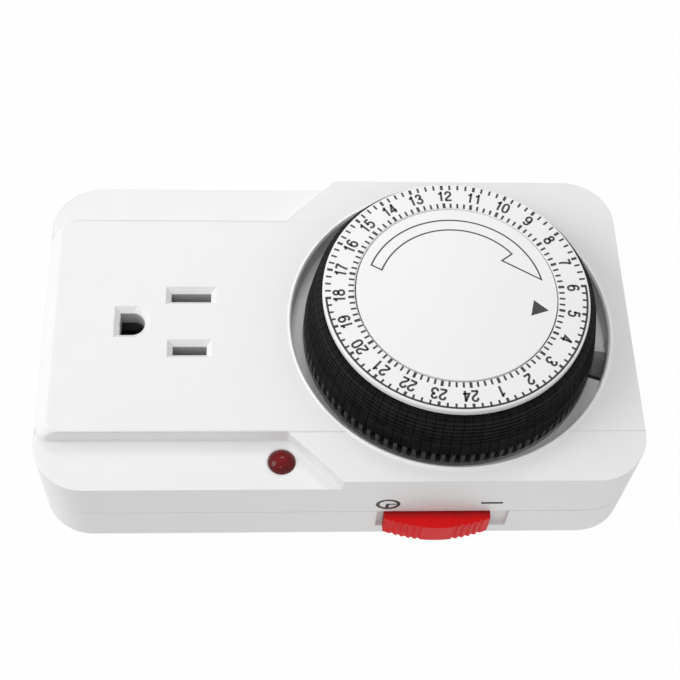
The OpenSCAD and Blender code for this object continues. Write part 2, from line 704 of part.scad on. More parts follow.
module follower_lever() upright() color("dimgray") difference() {
    union() {
        translate([0, 0, lever_z]) linear_extrude(lever_t) {
            bar(pivot_c, head_c, lever_hub_r - 0.3, 1.8);
            bar(pivot_c, cam_c, lever_hub_r - 0.3, cam_follower_r - 0.3);
            translate(cam_c) circle(cam_follower_r);
        }
        sector(head_near, head_far, head_from, head_to, lever_z + EPS, head_rise_z);
        at(finger_c, leaf_z) cylinder(r = finger_r, h = lever_z + EPS - leaf_z);
        at(pivot_c, lever_z) cylinder(r = lever_hub_r, h = lever_t);
        at(pivot_c, lever_z - 1.4) cylinder(r = spring_r - wire_r - run, h = 1.5);
    }
    at(pivot_c, lever_z - 2) cylinder(r = pivot_r + run, h = lever_t + 4);
    // slanted front of the head
    at(dial_c) rotate(-head_to) translate([-3, 0, head_rise_z]) rotate([0, 40, 0])
        translate([0, head_near - 2, 0]) cube([6, 9, 6]);
}

// Wire spring round the hub: one leg under the lever arm, one against a screw post
module lever_spring() upright() color("silver") at(pivot_c, lever_z - 1.1) {
    rotate_extrude() for (i = [0, 1]) translate([spring_r, i * 1.6 * wire_r]) circle(wire_r, $fn = 24);
    translate([spring_r, 0, 0]) rotate([-90, 0, 0]) cylinder(r = wire_r, h = 6, $fn = 24);
    translate([spring_r, 0, 1.6 * wire_r]) rotate([90, 0, 0])
        cylinder(r = wire_r, h = 12, $fn = 24);
}

// ---------------------------------------------------------------- movement

module arbors() upright() color("silver") {
    for (c = [first_c, second_c, rotor_c])
        at(c, plate_z + 0.2) cylinder(r = arbor_r, h = floor_z + 0.6 - plate_z - 0.2);
    at(rotor_c, wall + 1) cylinder(r = arbor_r, h = plate_z + 0.3 - wall - 1);
    at(drive_c, plate_z + 0.2) cylinder(r = arbor_r, h = comb_z + 0.6 - plate_z);
    at(pivot_c, lever_z - 1.2) cylinder(r = pivot_r, h = floor_z + 1.3 - lever_z);
}

module movement_plate() upright() color("silver") difference() {
    corners = [plate_screw_c[0], plate_screw_c[2], plate_screw_c[1], rotor_c];
    translate([0, 0, plate_z]) linear_extrude(plate_t) {
        polygon(corners);
        for (i = [0 : 3]) bar(corners[i], corners[(i + 1) % 4], 3.7, 3.7);
        for (c = plate_screw_c) translate(c) circle(4.2);
        translate(rotor_c) circle(8);
    }
    for (c = plate_screw_c) at(c, plate_z - 1) cylinder(r = plate_screw_r + FIT, h = plate_t + 2);
    for (c = [first_c, second_c, drive_c])
        at(c, plate_z - 1) cylinder(r = arbor_r + PIN, h = plate_t + 2);
    at(rotor_c, plate_z - 1) cylinder(r = 1.9, h = plate_t + 2);
}

module plate_screws() upright() color("silver") for (c = plate_screw_c) at(c) difference() {
    union() {
        translate([0, 0, plate_z - 1.5]) cylinder(r = 2.4, h = 1.5);
        translate([0, 0, plate_z - EPS]) cylinder(r = plate_screw_r, h = 4.4);
    }
    translate([-0.4, -3, plate_z - 2]) cube([0.8, 6, 1]);
}

motor_z = wall + SEAT;
motor_top = plate_z - SEAT - 0.9;
claw_in = 0.4125 * motor_r;
claw_out = claw_in + 0.8;
module claws(from, z1, z2) for (i = [0 : 5]) at(rotor_c, z1) rotate(from + i * 60)
    rotate_extrude(angle = 22) translate([claw_in, 0]) square([claw_out - claw_in, z2 - z1]);

module motor_case() upright() color("lightgray") {
    at(rotor_c, motor_z) difference() {
        cylinder(r = motor_r, h = motor_top - motor_z);
        translate([0, 0, 0.8]) cylinder(r = motor_r - 0.9, h = 20);
        translate([0, 0, -1]) cylinder(r = arbor_r + PIN, h = 3);
    }
    claws(0, motor_z + 0.8 - EPS, motor_top - 1.2);
}

module motor_pole_plate() upright() color("lightgray") {
    at(rotor_c, motor_top) difference() {
        cylinder(r = motor_r, h = 0.9);
        translate([0, 0, -1]) cylinder(r = 2, h = 3);
    }
    claws(30, motor_z + 2, motor_top + EPS);
}

module spool(r1, r2, z1, z2) at(rotor_c, z1) difference() {
    cylinder(r = r2, h = z2 - z1);
    translate([0, 0, -1]) cylinder(r = r1, h = z2 - z1 + 2);
}

bobbin_z = motor_z + 0.8 + FIT;
bobbin_top = motor_top - FIT;
module coil_bobbin() upright() color("ivory") {
    spool(claw_out + 0.4, claw_out + 1.2, bobbin_z, bobbin_top);
    spool(claw_out + 0.4, motor_r - 1.2, bobbin_z, bobbin_z + 0.8);
    spool(claw_out + 0.4, motor_r - 1.2, bobbin_top - 0.8, bobbin_top);
}

module coil_winding() upright() color("chocolate")
    spool(claw_out + 1.3, motor_r - 1.9, bobbin_z + 0.9, bobbin_top - 0.9);

// Involute toothed outline with thinned teeth; tooth 0 points along +x
function inv(a) = tan(a) * 180 / PI - a;
function tooth_half(n, m, r) =
    let (rp = n * m / 2, rb = rp * cos(20))
    90 / n - backlash / 2 / rp * 180 / PI / 2 + inv(20) - (r > rb ? inv(acos(rb / r)) : 0);
function gear_points(n, m, add) =
    let (rp = n * m / 2, tip = rp + add * m, root = rp - 1.25 * m, rb = max(rp * cos(20), root))
    [for (i = [0 : n - 1]) let (a = i * 360 / n)
        for (p = [[root, -1], [rb, -1], [rp, -1], [tip, -1], [tip, 1], [rp, 1], [rb, 1], [root, 1]])
            let (b = a + p[1] * tooth_half(n, m, p[0])) p[0] * [cos(b), sin(b)]];

module gear(c, z, h, n, m, add, turn) at(c, z) rotate(turn) linear_extrude(h)
    polygon(gear_points(n, m, add));

// Turn of a gear that meets its neighbour, in direction a, with a tooth or with a gap
function tooth_at(a) = a;
function gap_at(a, n) = a + 180 / n;

module motor_rotor() upright() color("gray") difference() {
    union() {
        at(rotor_c, motor_z + 1.3) cylinder(r = claw_in - 0.5, h = 7);
        at(rotor_c, motor_z + 8) cylinder(r = 1.35, h = low_wheel_z - motor_z - 8 + EPS);
        gear(rotor_c, low_wheel_z - 0.1, wheel_t + 0.3, pinion_teeth, train_m, 0.9,
             tooth_at(rotor_dir + 180));
    }
    at(rotor_c, motor_z) cylinder(r = arbor_r + run, h = 20);
}

module gear_first() upright() color("ivory") difference() {
    union() {
        gear(first_c, low_wheel_z, wheel_t, wheel_teeth, train_m, 0.75,
             gap_at(rotor_dir, wheel_teeth));
        gear(first_c, low_wheel_z + wheel_t - EPS, mid_wheel_z - low_wheel_z + 0.1, pinion_teeth,
             train_m, 0.9, tooth_at(first_dir + 180));
    }
    at(first_c, plate_top) cylinder(r = arbor_r + run, h = 8);
}

module gear_second() upright() color("ivory") difference() {
    union() {
        at(second_c, plate_top + 0.2) cylinder(r = 1.25, h = mid_wheel_z - plate_top);
        gear(second_c, mid_wheel_z, wheel_t, wheel_teeth, train_m, 0.75,
             gap_at(first_dir, wheel_teeth));
        gear(second_c, mid_wheel_z + wheel_t - EPS, high_wheel_z - mid_wheel_z + 0.1, pinion_teeth,
             train_m, 0.9, tooth_at(second_dir + 180));
    }
    at(second_c, plate_top) cylinder(r = arbor_r + run, h = 8);
}

sleeve_r = 2.2;
module clutch_wheel() upright() color("ivory") difference() {
    gear(drive_c, high_wheel_z, wheel_t - 0.1, clutch_teeth, train_m, 0.75,
         gap_at(second_dir, clutch_teeth));
    at(drive_c, high_wheel_z - 1) cylinder(r = sleeve_r + run, h = 3);
    // lightening holes
    for (i = [0 : 4]) at(drive_c, high_wheel_z - 1) rotate(i * 72 + 20) translate([7, 0, 0])
        cylinder(r = 2.1, h = 3);
}

clutch_top = high_wheel_z + wheel_t - 0.1;
module clutch_spring() upright() color("silver") at(drive_c, clutch_top + PIN) difference() {
    cylinder(r = 4.2, h = 0.26);
    translate([0, 0, -1]) cylinder(r = sleeve_r + FIT, h = 3);
}

module drive_pinion() upright() color("ivory") difference() {
    union() {
        at(drive_c, plate_top + 0.1) cylinder(r = sleeve_r, h = clutch_top + 0.5 - plate_top);
        at(drive_c, plate_top + 0.1) cylinder(r = 3.6, h = high_wheel_z - 0.1 - plate_top - 0.1);
        at(drive_c, clutch_top + 0.3) cylinder(r = 3.6, h = 0.8);
        gear(drive_c, clutch_top + 1, comb_z + 1.8 - clutch_top - 1, drive_teeth, dial_m,
             tip_add, tooth_at(90));
    }
    at(drive_c, plate_top) cylinder(r = arbor_r + run, h = comb_z + 1 - plate_top);
}

// ---------------------------------------------------------------- dial

web_z = comb_z + 2;
module dial_gear() upright() color("ivory") difference() {
    union() {
        at(dial_c, well_z + 0.6) cylinder(r = hub_r, h = comb_top + 1.8 - well_z - 0.6);
        at(dial_c, web_z) cylinder(r = drum_in - FIT, h = 1.4);
        gear(dial_c, well_z + 0.5, web_z + EPS - well_z - 0.5, dial_teeth, dial_m, 0.75,
             gap_at(-90, dial_teeth));
    }
    at(dial_c, well_z) cylinder(r = spindle_r + run + 0.02, h = 20);
    // spokes left between six round openings
    for (i = [0 : 5]) at(dial_c, well_z) rotate(i * 60)
        translate([(hub_r + dial_gear_r) / 2 + 0.1, 0, 0])
        cylinder(r = (dial_gear_r - hub_r) / 2 - 1, h = 6);
}

// Place of the hours: they run against the clock, seen from the front
five_at = 11.7;      // place of the five o'clock line, from +y towards +x
function hour_turn(h) = 90 - five_at + (h - 5) * 15;

// Many-sided ring and comb, with one flat to each tripper
function flats(r) = [for (i = [0 : trippers - 1]) let (a = (i + 0.5) * step)
    r / cos(step / 2) * [cos(a), sin(a)]];
module flat_ring(r1, r2, z1, z2) at(dial_c, z1) rotate(comb_turn) linear_extrude(z2 - z1)
difference() {
    polygon(flats(r2));
    polygon(flats(r1));
}
slot_half = foot_t / 2 + slot_gap;
function comb_points(r) = [for (i = [0 : trippers - 1]) let (a = i * step)
    for (p = [[r, -slot_half], [drum_r, -slot_half], [drum_r, slot_half], [r, slot_half]])
        [p[0] * cos(a) - p[1] * sin(a), p[0] * sin(a) + p[1] * cos(a)]];
comb_turn = hour_turn(5) + step / 2;
module comb(r, z1, z2) at(dial_c, z1) rotate(comb_turn) linear_extrude(z2 - z1) difference() {
    polygon(comb_points(r));
    polygon(flats(drum_in));
}

module tripper_cage() upright() color("black") {
    comb(guide_r, comb_z + comb_band, comb_top);
    comb(comb_r, comb_z, comb_z + comb_band + EPS);
    flat_ring(drum_in, drum_r, comb_top, ring_z);
    flat_ring(drum_in - ledge_t, drum_in + EPS, comb_z, web_z);
}

// One tripper: a conical, ridged head with a skirt outside the comb and a thin foot in it;
// r is the radius, z the height
head_w = 4.4;
brow = [[0.3, 0], [0.36, 0.26], [0.85, 0.26], [0.93, 0.6], [head_over, 0.6]];
ridges = [1.35, 2.45, 3.55, 4.65, 5.75, 6.85];
cone = (comb_r - ring_r - head_over) / (head_top - 0.6 - skirt_z);
function cone_r(d) = ring_r + head_over + cone * (d - 0.6);
function head_side() = concat(
    [[head_in, head_z], [head_in, head_top]],
    [for (b = brow) [ring_r + b[0], head_top - b[1]]],
    [for (d = ridges) for (s = [-0.12, 0.1]) [cone_r(d) + s, head_top - d]],
    [[comb_r, skirt_z], [guide_r + 0.3, skirt_z], [guide_r + 0.3, head_z]]);
function foot_side() = [[foot_in, foot_z], [comb_r, foot_z], [comb_r, skirt_z],
    [comb_r - 0.3, skirt_z + 0.3],
    [guide_r + 0.5, head_z], [guide_r + 0.5, head_z + 0.5], [foot_in, head_z + 0.5]];
module side_plate(side, w) rotate([90, 0, 0]) translate([0, 0, -w / 2]) linear_extrude(w)
    polygon(side);
function wedge_half(r) = r * tan(step / 2) - tripper_gap / 2;

module tripper() {
    far = comb_r + 1;
    intersection() {
        side_plate(head_side(), head_w);
        linear_extrude(head_top + 1) polygon([
            [head_in - 1, -wedge_half(head_in - 1)], [far, -wedge_half(far)],
            [far, wedge_half(far)], [head_in - 1, wedge_half(head_in - 1)]]);
    }
    side_plate(foot_side(), foot_t);
}

// The four trippers of one hour
module tripper_block(h) upright() color("black") at(dial_c)
    for (q = [0 : 3]) rotate(hour_turn(h) + (q + 0.5) * step) tripper();

module trippers_hour_01() tripper_block(1);
module trippers_hour_02() tripper_block(2);
module trippers_hour_03() tripper_block(3);
module trippers_hour_04() tripper_block(4);
module trippers_hour_05() tripper_block(5);
module trippers_hour_06() tripper_block(6);
module trippers_hour_07() tripper_block(7);
module trippers_hour_08() tripper_block(8);
module trippers_hour_09() tripper_block(9);
module trippers_hour_10() tripper_block(10);
module trippers_hour_11() tripper_block(11);
module trippers_hour_12() tripper_block(12);
module trippers_hour_13() tripper_block(13);
module trippers_hour_14() tripper_block(14);
module trippers_hour_15() tripper_block(15);
module trippers_hour_16() tripper_block(16);
module trippers_hour_17() tripper_block(17);
module trippers_hour_18() tripper_block(18);
module trippers_hour_19() tripper_block(19);
module trippers_hour_20() tripper_block(20);
module trippers_hour_21() tripper_block(21);
module trippers_hour_22() tripper_block(22);
module trippers_hour_23() tripper_block(23);
module trippers_hour_24() tripper_block(24);

module number_ring() upright() color("white") {
    ring(disc_r + disc_gap, ring_r, ring_z, dial_z);
    ring(drum_in - 1.6, drum_in - FIT, ring_z - 3, ring_z + EPS);
}

module centre_disc() upright() color("white") difference() {
    union() {
        at(dial_c, dial_z - 1.7) cylinder(r = disc_r, h = 1.7);
        ring(disc_r - 2.7, disc_r - 1.5, dial_z - 7, dial_z - 1.7 + EPS);
        at(dial_c, well_z + FIT) linear_extrude(dial_z - 1.7 + EPS - well_z - FIT) intersection() {
            circle(stem_r - run);
            translate([-stem_r, -stem_r]) square([stem_r + stem_flat - run, 2 * stem_r]);
        }
    }
    at(dial_c, well_z) cylinder(r = plate_screw_r + pilot, h = 7);
}

module centre_screw() upright() color("silver") at(dial_c) difference() {
    union() {
        translate([0, 0, floor_z - 1.5]) cylinder(r = 2.5, h = 1.5);
        translate([0, 0, floor_z - EPS]) cylinder(r = plate_screw_r, h = 8);
    }
    translate([-0.4, -3, floor_z - 2]) cube([0.8, 6, 1]);
}

front_cover();
back_cover();
cover_screws();
indicator_lens();
neon_lamp();
neon_resistor();
neutral_contact();
hot_contact();
ground_contact();
neutral_blade();
hot_blade();
ground_pin();
moving_leaf();
moving_contact();
override_slider();
slider_spring();
follower_lever();
lever_spring();
arbors();
movement_plate();
plate_screws();
motor_case();
motor_pole_plate();
coil_bobbin();
coil_winding();
motor_rotor();
gear_first();
gear_second();
clutch_wheel();
clutch_spring();
drive_pinion();
dial_gear();
tripper_cage();
number_ring();
centre_disc();
centre_screw();
trippers_hour_01();
trippers_hour_02();
trippers_hour_03();
trippers_hour_04();
trippers_hour_05();
trippers_hour_06();
trippers_hour_07();
trippers_hour_08();
trippers_hour_09();
trippers_hour_10();
trippers_hour_11();
trippers_hour_12();
trippers_hour_13();
trippers_hour_14();
trippers_hour_15();
trippers_hour_16();
trippers_hour_17();
trippers_hour_18();
trippers_hour_19();
trippers_hour_20();
trippers_hour_21();
trippers_hour_22();
trippers_hour_23();
trippers_hour_24();
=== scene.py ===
"""Looks of a plug-in 24 hour timer switch: moulded housing, printed dial, materials and stage."""

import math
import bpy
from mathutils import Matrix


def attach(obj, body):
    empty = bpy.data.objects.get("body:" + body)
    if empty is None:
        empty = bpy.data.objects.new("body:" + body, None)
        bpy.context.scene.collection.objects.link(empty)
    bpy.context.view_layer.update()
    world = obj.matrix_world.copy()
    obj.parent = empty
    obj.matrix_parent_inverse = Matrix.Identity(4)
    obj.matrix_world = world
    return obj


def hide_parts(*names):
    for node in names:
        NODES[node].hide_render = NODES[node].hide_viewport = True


bl_info = {
    "name": "Plug-in timer switch",
    "version": (1, 0, 0),
    "blender": (4, 5, 0),
    "location": "3D View > Sidebar > Timer",
    "description": "Dresses the construction model of a plug-in timer switch",
    "category": "Object",
}

import bmesh
import bpy
from bpy.props import FloatProperty, FloatVectorProperty, PointerProperty
from mathutils import Matrix, Vector

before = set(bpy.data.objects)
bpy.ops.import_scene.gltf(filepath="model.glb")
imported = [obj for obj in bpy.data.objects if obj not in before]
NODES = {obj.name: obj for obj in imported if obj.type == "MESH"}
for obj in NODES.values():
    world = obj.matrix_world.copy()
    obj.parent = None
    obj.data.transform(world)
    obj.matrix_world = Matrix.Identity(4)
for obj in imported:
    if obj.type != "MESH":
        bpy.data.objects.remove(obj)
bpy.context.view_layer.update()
MM = 0.001
PRINT_LIFT = 0.02    # print over the face that it is on, in mm

HOUR_NODES = [f"trippers_hour_{h:02d}" for h in range(1, 25)]
STEEL = ["cover_screws", "plate_screws", "centre_screw", "arbors", "movement_plate"]
SPRINGS = ["slider_spring", "lever_spring", "clutch_spring"]
MOTOR = ["motor_case", "motor_pole_plate"]
GEARS = ["coil_bobbin", "gear_first", "gear_second", "clutch_wheel", "drive_pinion", "dial_gear"]
CONTACTS = ["neutral_contact", "hot_contact", "ground_contact"]
PLUG = ["neutral_blade", "hot_blade", "ground_pin"]


# ------------------------------------------------------------------ shader writing

class Wire:
    """A shader socket; sums on it add Math nodes."""

    def __init__(self, tree, socket):
        self.tree = tree
        self.socket = socket

    def math(self, operation, *values):
        return self.tree.add("ShaderNodeMath", {"operation": operation}, dict(enumerate(values)))

    def __add__(self, other):
        return self.math("ADD", self, other)

    def __radd__(self, other):
        return self.math("ADD", other, self)

    def __sub__(self, other):
        return self.math("SUBTRACT", self, other)

    def __rsub__(self, other):
        return self.math("SUBTRACT", other, self)

    def __mul__(self, other):
        return self.math("MULTIPLY", self, other)

    def __truediv__(self, other):
        return self.math("DIVIDE", self, other)

    def over(self, edge):
        return self.math("GREATER_THAN", self, edge)

    def clip(self):
        return self.tree.add("ShaderNodeClamp", {}, {0: self})


class Shading:
    """The node tree of a material or of the surround."""

    def __init__(self, owner, output):
        owner.use_nodes = True
        self.tree = owner.node_tree
        self.tree.nodes.clear()
        self.output = self.tree.nodes.new(output)

    def add(self, kind, settings, inputs, out=0):
        """Makes a node; settings come first, then values or links of its sockets."""
        node = self.tree.nodes.new(kind)
        for key, value in settings.items():
            if key == "stops":
                ramp = node.color_ramp
                while len(ramp.elements) < len(value):
                    ramp.elements.new(0.5)
                for stop, (place, colour) in zip(ramp.elements, value):
                    stop.position = place
                    stop.color = colour
            else:
                setattr(node, key, value)
        for key, value in inputs.items():
            if isinstance(value, Wire):
                self.tree.links.new(value.socket, node.inputs[key])
            else:
                node.inputs[key].default_value = value
        return Wire(self, node.outputs[out])

    def rays(self, *kinds):
        """One mask for each named kind of ray."""
        return [self.add("ShaderNodeLightPath", {}, {}, f"Is {kind} Ray") for kind in kinds]

    def show(self, shader):
        self.tree.links.new(shader.socket, self.output.inputs["Surface"])


class Finish(Shading):
    """One material and its nodes."""

    def __init__(self, name):
        self.material = bpy.data.materials.new(name)
        super().__init__(self.material, "ShaderNodeOutputMaterial")

    def place(self):
        """Object coordinates in millimetres."""
        spot = self.add("ShaderNodeTexCoord", {}, {}, "Object")
        return self.add("ShaderNodeVectorMath", {"operation": "SCALE"},
                        {0: spot, "Scale": 1 / MM})

    def axes(self, place):
        return [self.add("ShaderNodeSeparateXYZ", {}, {"Vector": place}, axis) for axis in "XYZ"]

    def from_axis(self, place, x, z):
        """Distance from the line through (x, z) that stands on the wall face."""
        off = self.add("ShaderNodeVectorMath", {"operation": "SUBTRACT"}, {0: place, 1: (x, 0, z)})
        flat = self.add("ShaderNodeVectorMath", {"operation": "MULTIPLY"}, {0: off, 1: (1, 0, 1)})
        return self.add("ShaderNodeVectorMath", {"operation": "LENGTH"}, {0: flat}, 1)

    def noise(self, place, scale, detail=3.0, rough=0.55):
        return self.add("ShaderNodeTexNoise", {},
                        {"Vector": place, "Scale": scale, "Detail": detail, "Roughness": rough})

    def blend(self, amount, first, second):
        """Mix of two colours; either may be a wire."""
        return self.add("ShaderNodeMix", {"data_type": "RGBA"},
                        {0: amount, 6: first, 7: second}, 2)

    def bump(self, height, strength, distance, under=None):
        inputs = {"Height": height, "Strength": strength, "Distance": distance}
        if under is not None:
            inputs["Normal"] = under
        return self.add("ShaderNodeBump", {}, inputs)

    def surface(self, **inputs):
        """Principled shader joined to the output; names use _ for a space."""
        named = {key.replace("_", " "): value for key, value in inputs.items()}
        self.show(self.add("ShaderNodeBsdfPrincipled", {}, named))
        return self.material


def rgba(colour, gain=1.0):
    return tuple(min(1.0, c * gain) for c in colour[:3]) + (1.0,)


def moulded(name, colour, rough, grain=0.02, spread=0.05, shine=0.5):
    """Injection moulded plastic: even colour, fine eroded texture, uneven gloss."""
    f = Finish(name)
    at = f.place()
    cloud = f.noise(at, 0.12, 2.0)
    fine = f.noise(at, 2.6, 4.0, 0.6)
    shade = f.blend(cloud, rgba(colour, 1 - spread * 0.5), rgba(colour, 1 + spread * 0.5))
    gloss = (cloud - 0.5) * 0.12 + (fine - 0.5) * 0.1 + rough
    return f.surface(Base_Color=shade, Roughness=gloss.clip(), Specular_IOR_Level=shine,
                     Normal=f.bump(fine, 0.25, grain * MM))


def housing_plastic(name, housing, centre):
    """White covers: painted shade in the outlet slots under their lead-in and along the parting
    line, and a painted highlight on the well's rim.
    """
    slot_x, slot_low, slot_high = 9.0, -16.2, 4.8    # extent of the outlet's openings
    lead_in, slot_floor = 1.0, 11.0                  # depth of their bevels, and of the slots
    step_x, step_side = 20.0, 34.5                   # bounds of the step round the outlet deck
    step_low, step_high, step_depth = -24.0, 31.0, 6.0
    rim_width, rim_painted_highlight = 0.7, 1.13
    deck = housing.deck
    f = Finish(name)
    at = f.place()
    cloud = f.noise(at, 0.12, 2.0)
    fine = f.noise(at, 2.6, 4.0, 0.6)
    x, y, z = f.axes(at)
    across = x.math("ABSOLUTE", x)
    inside = (slot_x - across).over(0.0) * z.over(slot_low) * (slot_high - z).over(0.0)
    deep = ((y + (deck - lead_in)) / 0.5).clip() * (slot_floor - deck - y).over(0.0)
    gap = y + housing.parting
    line = (1.0 - gap.math("ABSOLUTE", gap) / 0.16).clip() * (0.3 + fine * 0.3)
    step = across.math("MAXIMUM", across.over(step_x), (step_low - z).over(0.0))
    step = step * (step_side - across).over(0.0) * (step_high - z).over(0.0)
    step = step * (step_depth - deck - y).over(0.0)
    # band round the well's rim: it gives the Bevel its rounding radius and carries a painted
    # highlight
    rim = f.from_axis(at, 0.0, centre) - (housing.well + 0.5)
    rim = (1.0 - rim.math("ABSOLUTE", rim) / rim_width).clip() * (0.8 - deck - y).over(0.0)
    colour = housing.white
    shade = f.blend(cloud, rgba(colour, 0.975), rgba(colour, 1.025))
    # painted shade: a thin darker line along the parting line, as the shade of its groove
    shade = f.blend(line, shade, rgba(colour, 0.5))
    # painted shade: the outlet slots are darkened below their lead-in, as the shade inside them
    shade = f.blend(inside * deep * (0.9 + (fine - 0.5) * 0.2), shade, rgba(colour, 0.56))
    # painted highlight: the band round the well's rim is lightened
    shade = f.blend(rim * 0.8, shade, rgba(colour, rim_painted_highlight))
    gloss = (cloud - 0.5) * 0.12 + (fine - 0.5) * 0.1 + housing.rough
    soft = f.add("ShaderNodeBevel", {"samples": 8},
                 {"Radius": (step * housing.mould + rim * 0.3 + 0.15) * MM})
    return f.surface(Base_Color=shade, Roughness=gloss.clip(),
                     Normal=f.bump(fine, 0.25, 0.02 * MM, soft))


def slider_plastic(name, colour, rough, wall):
    """Red plastic with painted shade towards the side wall, where it runs in the window."""
    painted_shade_width = 1.7
    f = Finish(name)
    at = f.place()
    cloud = f.noise(at, 0.3, 3.0)
    fine = f.noise(at, 2.6, 4.0, 0.6)
    out = f.axes(at)[0] - wall
    unshaded = ((out + (cloud - 0.5) * 0.8) / painted_shade_width).clip()
    painted_shade_red = (colour[0] * 0.45, colour[1] * 1.5, colour[2] * 1.5)
    shade = f.blend(cloud, rgba(colour, 0.92), rgba(colour, 1.04))
    # painted shade: the red darkens towards the side wall
    shade = f.blend(unshaded, rgba(painted_shade_red), shade)
    gloss = (cloud - 0.5) * 0.12 + (fine - 0.5) * 0.1 + rough
    return f.surface(Base_Color=shade, Roughness=gloss.clip(), Specular_IOR_Level=0.1,
                     Normal=f.bump(fine, 0.25, 0.02 * MM))


def tripper_plastic(name, colour, centre, painted_light_from, skirt):
    """Black plastic, patchy satin, rubbed in patches, with painted light at the rim and on the feet
    under the skirt.
    """
    rubbed, rim_painted_light, foot_painted_light = 3.2, 9.0, 24.0     # how much paler than the black: rubbed patches, painted light at the rim and on the feet
    foot_from = 27.0
    f = Finish(name)
    at = f.place()
    cloud = f.noise(at, 0.35, 3.0, 0.65)
    scuff = f.noise(at, 3.2, 5.0, 0.7)
    reach = f.from_axis(at, 0.0, centre)
    rim = ((reach - painted_light_from) * 1.2).clip()
    worn = (cloud * 1.5 - 0.6) + (scuff - 0.5) * 0.7
    foot = ((f.axes(at)[1] + skirt) * 2.0).clip() * (reach - foot_from).clip()
    shade = f.blend(worn.clip(), rgba(colour), rgba(colour, rubbed))
    # painted light: paler beyond painted_light_from, where the comb's outer tips catch the light
    shade = f.blend(rim * (0.6 + (scuff - 0.5) * 0.6), shade, rgba(colour, rim_painted_light))
    # painted light: the feet under the skirt are paled as if lit
    shade = f.blend(foot * (0.8 + (scuff - 0.5) * 0.5), shade, rgba(colour, foot_painted_light))
    gloss = 0.46 + (cloud - 0.5) * 0.3 + (scuff - 0.5) * 0.3
    return f.surface(Base_Color=shade, Roughness=gloss.clip(), Specular_IOR_Level=0.13,
                     Normal=f.bump(scuff, 0.3, 0.02 * MM))


def metal(name, colour, rough, along=(0.4, 9.0, 0.4)):
    """Rolled metal with fine lines in one direction and light tarnish."""
    f = Finish(name)
    at = f.place()
    stretched = f.add("ShaderNodeVectorMath", {"operation": "MULTIPLY"}, {0: at, 1: along})
    lines = f.noise(stretched, 1.4, 4.0, 0.6)
    tarnish = f.noise(at, 0.5, 3.0, 0.6)
    shade = f.blend(tarnish, rgba(colour, 0.8), rgba(colour, 1.1))
    gloss = rough + (lines - 0.5) * 0.22 + (tarnish - 0.5) * 0.15
    return f.surface(Base_Color=shade, Metallic=1.0, Roughness=gloss.clip(),
                     Normal=f.bump(lines, 0.2, 0.02 * MM))


def wound_wire(name, colour):
    """Enamelled copper wire, turn beside turn."""
    f = Finish(name)
    at = f.place()
    apart = f.axes(at)[1] * 18.0
    turns = apart.math("SINE", apart) * 0.5 + 0.5
    tarnish = f.noise(at, 0.6, 3.0)
    shade = f.blend(tarnish, rgba(colour, 0.7), rgba(colour, 1.15))
    return f.surface(Base_Color=shade, Metallic=0.85, Roughness=0.35 + (tarnish - 0.5) * 0.2,
                     Normal=f.bump(turns, 0.6, 0.15 * MM))


def ink(name, colour):
    """Pad printed ink with slightly uneven cover."""
    f = Finish(name)
    cover = f.noise(f.place(), 5.0, 3.0, 0.6)
    shade = f.blend(cover, rgba(colour, 0.7), rgba(colour, 1.4))
    return f.surface(Base_Color=shade, Roughness=0.5 + (cover - 0.5) * 0.2)


def lens_plastic(name, colour, centre, radius):
    """Deep red clear plastic, with painted shade at the rim and a painted pale ring of reflected
    light.
    """
    f = Finish(name)
    at = f.place()
    cloud = f.noise(at, 0.9, 3.0, 0.6)
    reach = f.from_axis(at, centre.x / MM, centre.z / MM) / (radius / MM)
    # painted reflection and shade: from the deep red centre to a pale ring and a dark rim
    shade = f.add("ShaderNodeValToRGB", {"stops": [
        (0.0, rgba(colour, 0.95)), (0.5, rgba(colour, 0.7)), (0.68, (0.1, 0.004, 0.007, 1)),
        (0.82, (0.17, 0.03, 0.034, 1)), (0.94, rgba(colour, 0.22))]},
        {0: reach + (cloud - 0.5) * 0.25})
    return f.surface(Base_Color=shade, Roughness=0.12 + (cloud - 0.5) * 0.06,
                     Specular_IOR_Level=0.2)


def clear_glass(name, colour):
    f = Finish(name)
    cloud = f.noise(f.place(), 0.8, 2.0)
    shade = f.blend(cloud, rgba(colour, 0.9), rgba(colour, 1.1))
    return f.surface(Base_Color=shade, Roughness=0.1 + (cloud - 0.5) * 0.08,
                     Transmission_Weight=0.6)


def banded(name, colour):
    """Lacquered resistor body with four colour bands, each at its own height."""
    red, blue, orange, gold = ((0.35, 0.02, 0.02, 1), (0.02, 0.02, 0.3, 1),
                               (0.5, 0.25, 0.02, 1), (0.5, 0.36, 0.08, 1))
    half_band = 0.3
    f = Finish(name)
    z = f.axes(f.place())[2]
    shade = rgba(colour)
    for height, band in ((10.4, red), (9.2, blue), (8.0, orange), (6.6, gold)):
        inside = z.over(height - half_band) * (1 - z.over(height + half_band))
        shade = f.blend(inside, shade, band)
    return f.surface(Base_Color=shade, Roughness=0.3)


def dress(node, material):
    """Gives a construction node its finish."""
    mesh = NODES[node].data
    mesh.materials.clear()
    mesh.materials.append(material)


def extent(node):
    """Lowest and highest corner of a construction node."""
    points = [v.co for v in NODES[node].data.vertices]
    return (Vector(min(p[k] for p in points) for k in range(3)),
            Vector(max(p[k] for p in points) for k in range(3)))


def finish(name):
    found = bpy.data.materials.get(name)
    if found is None:
        raise RuntimeError(f"the finish {name} has not been made yet")
    return found


# ------------------------------------------------------------------ meshes

def new_piece(name, mesh, material, body):
    piece = bpy.data.objects.new(name, mesh)
    bpy.context.scene.collection.objects.link(piece)
    mesh.materials.clear()
    mesh.materials.append(material)
    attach(piece, body)
    return piece


def smooth(mesh, angle=28):
    for face in mesh.polygons:
        face.use_smooth = True
    mesh.set_sharp_from_angle(angle=math.radians(angle))


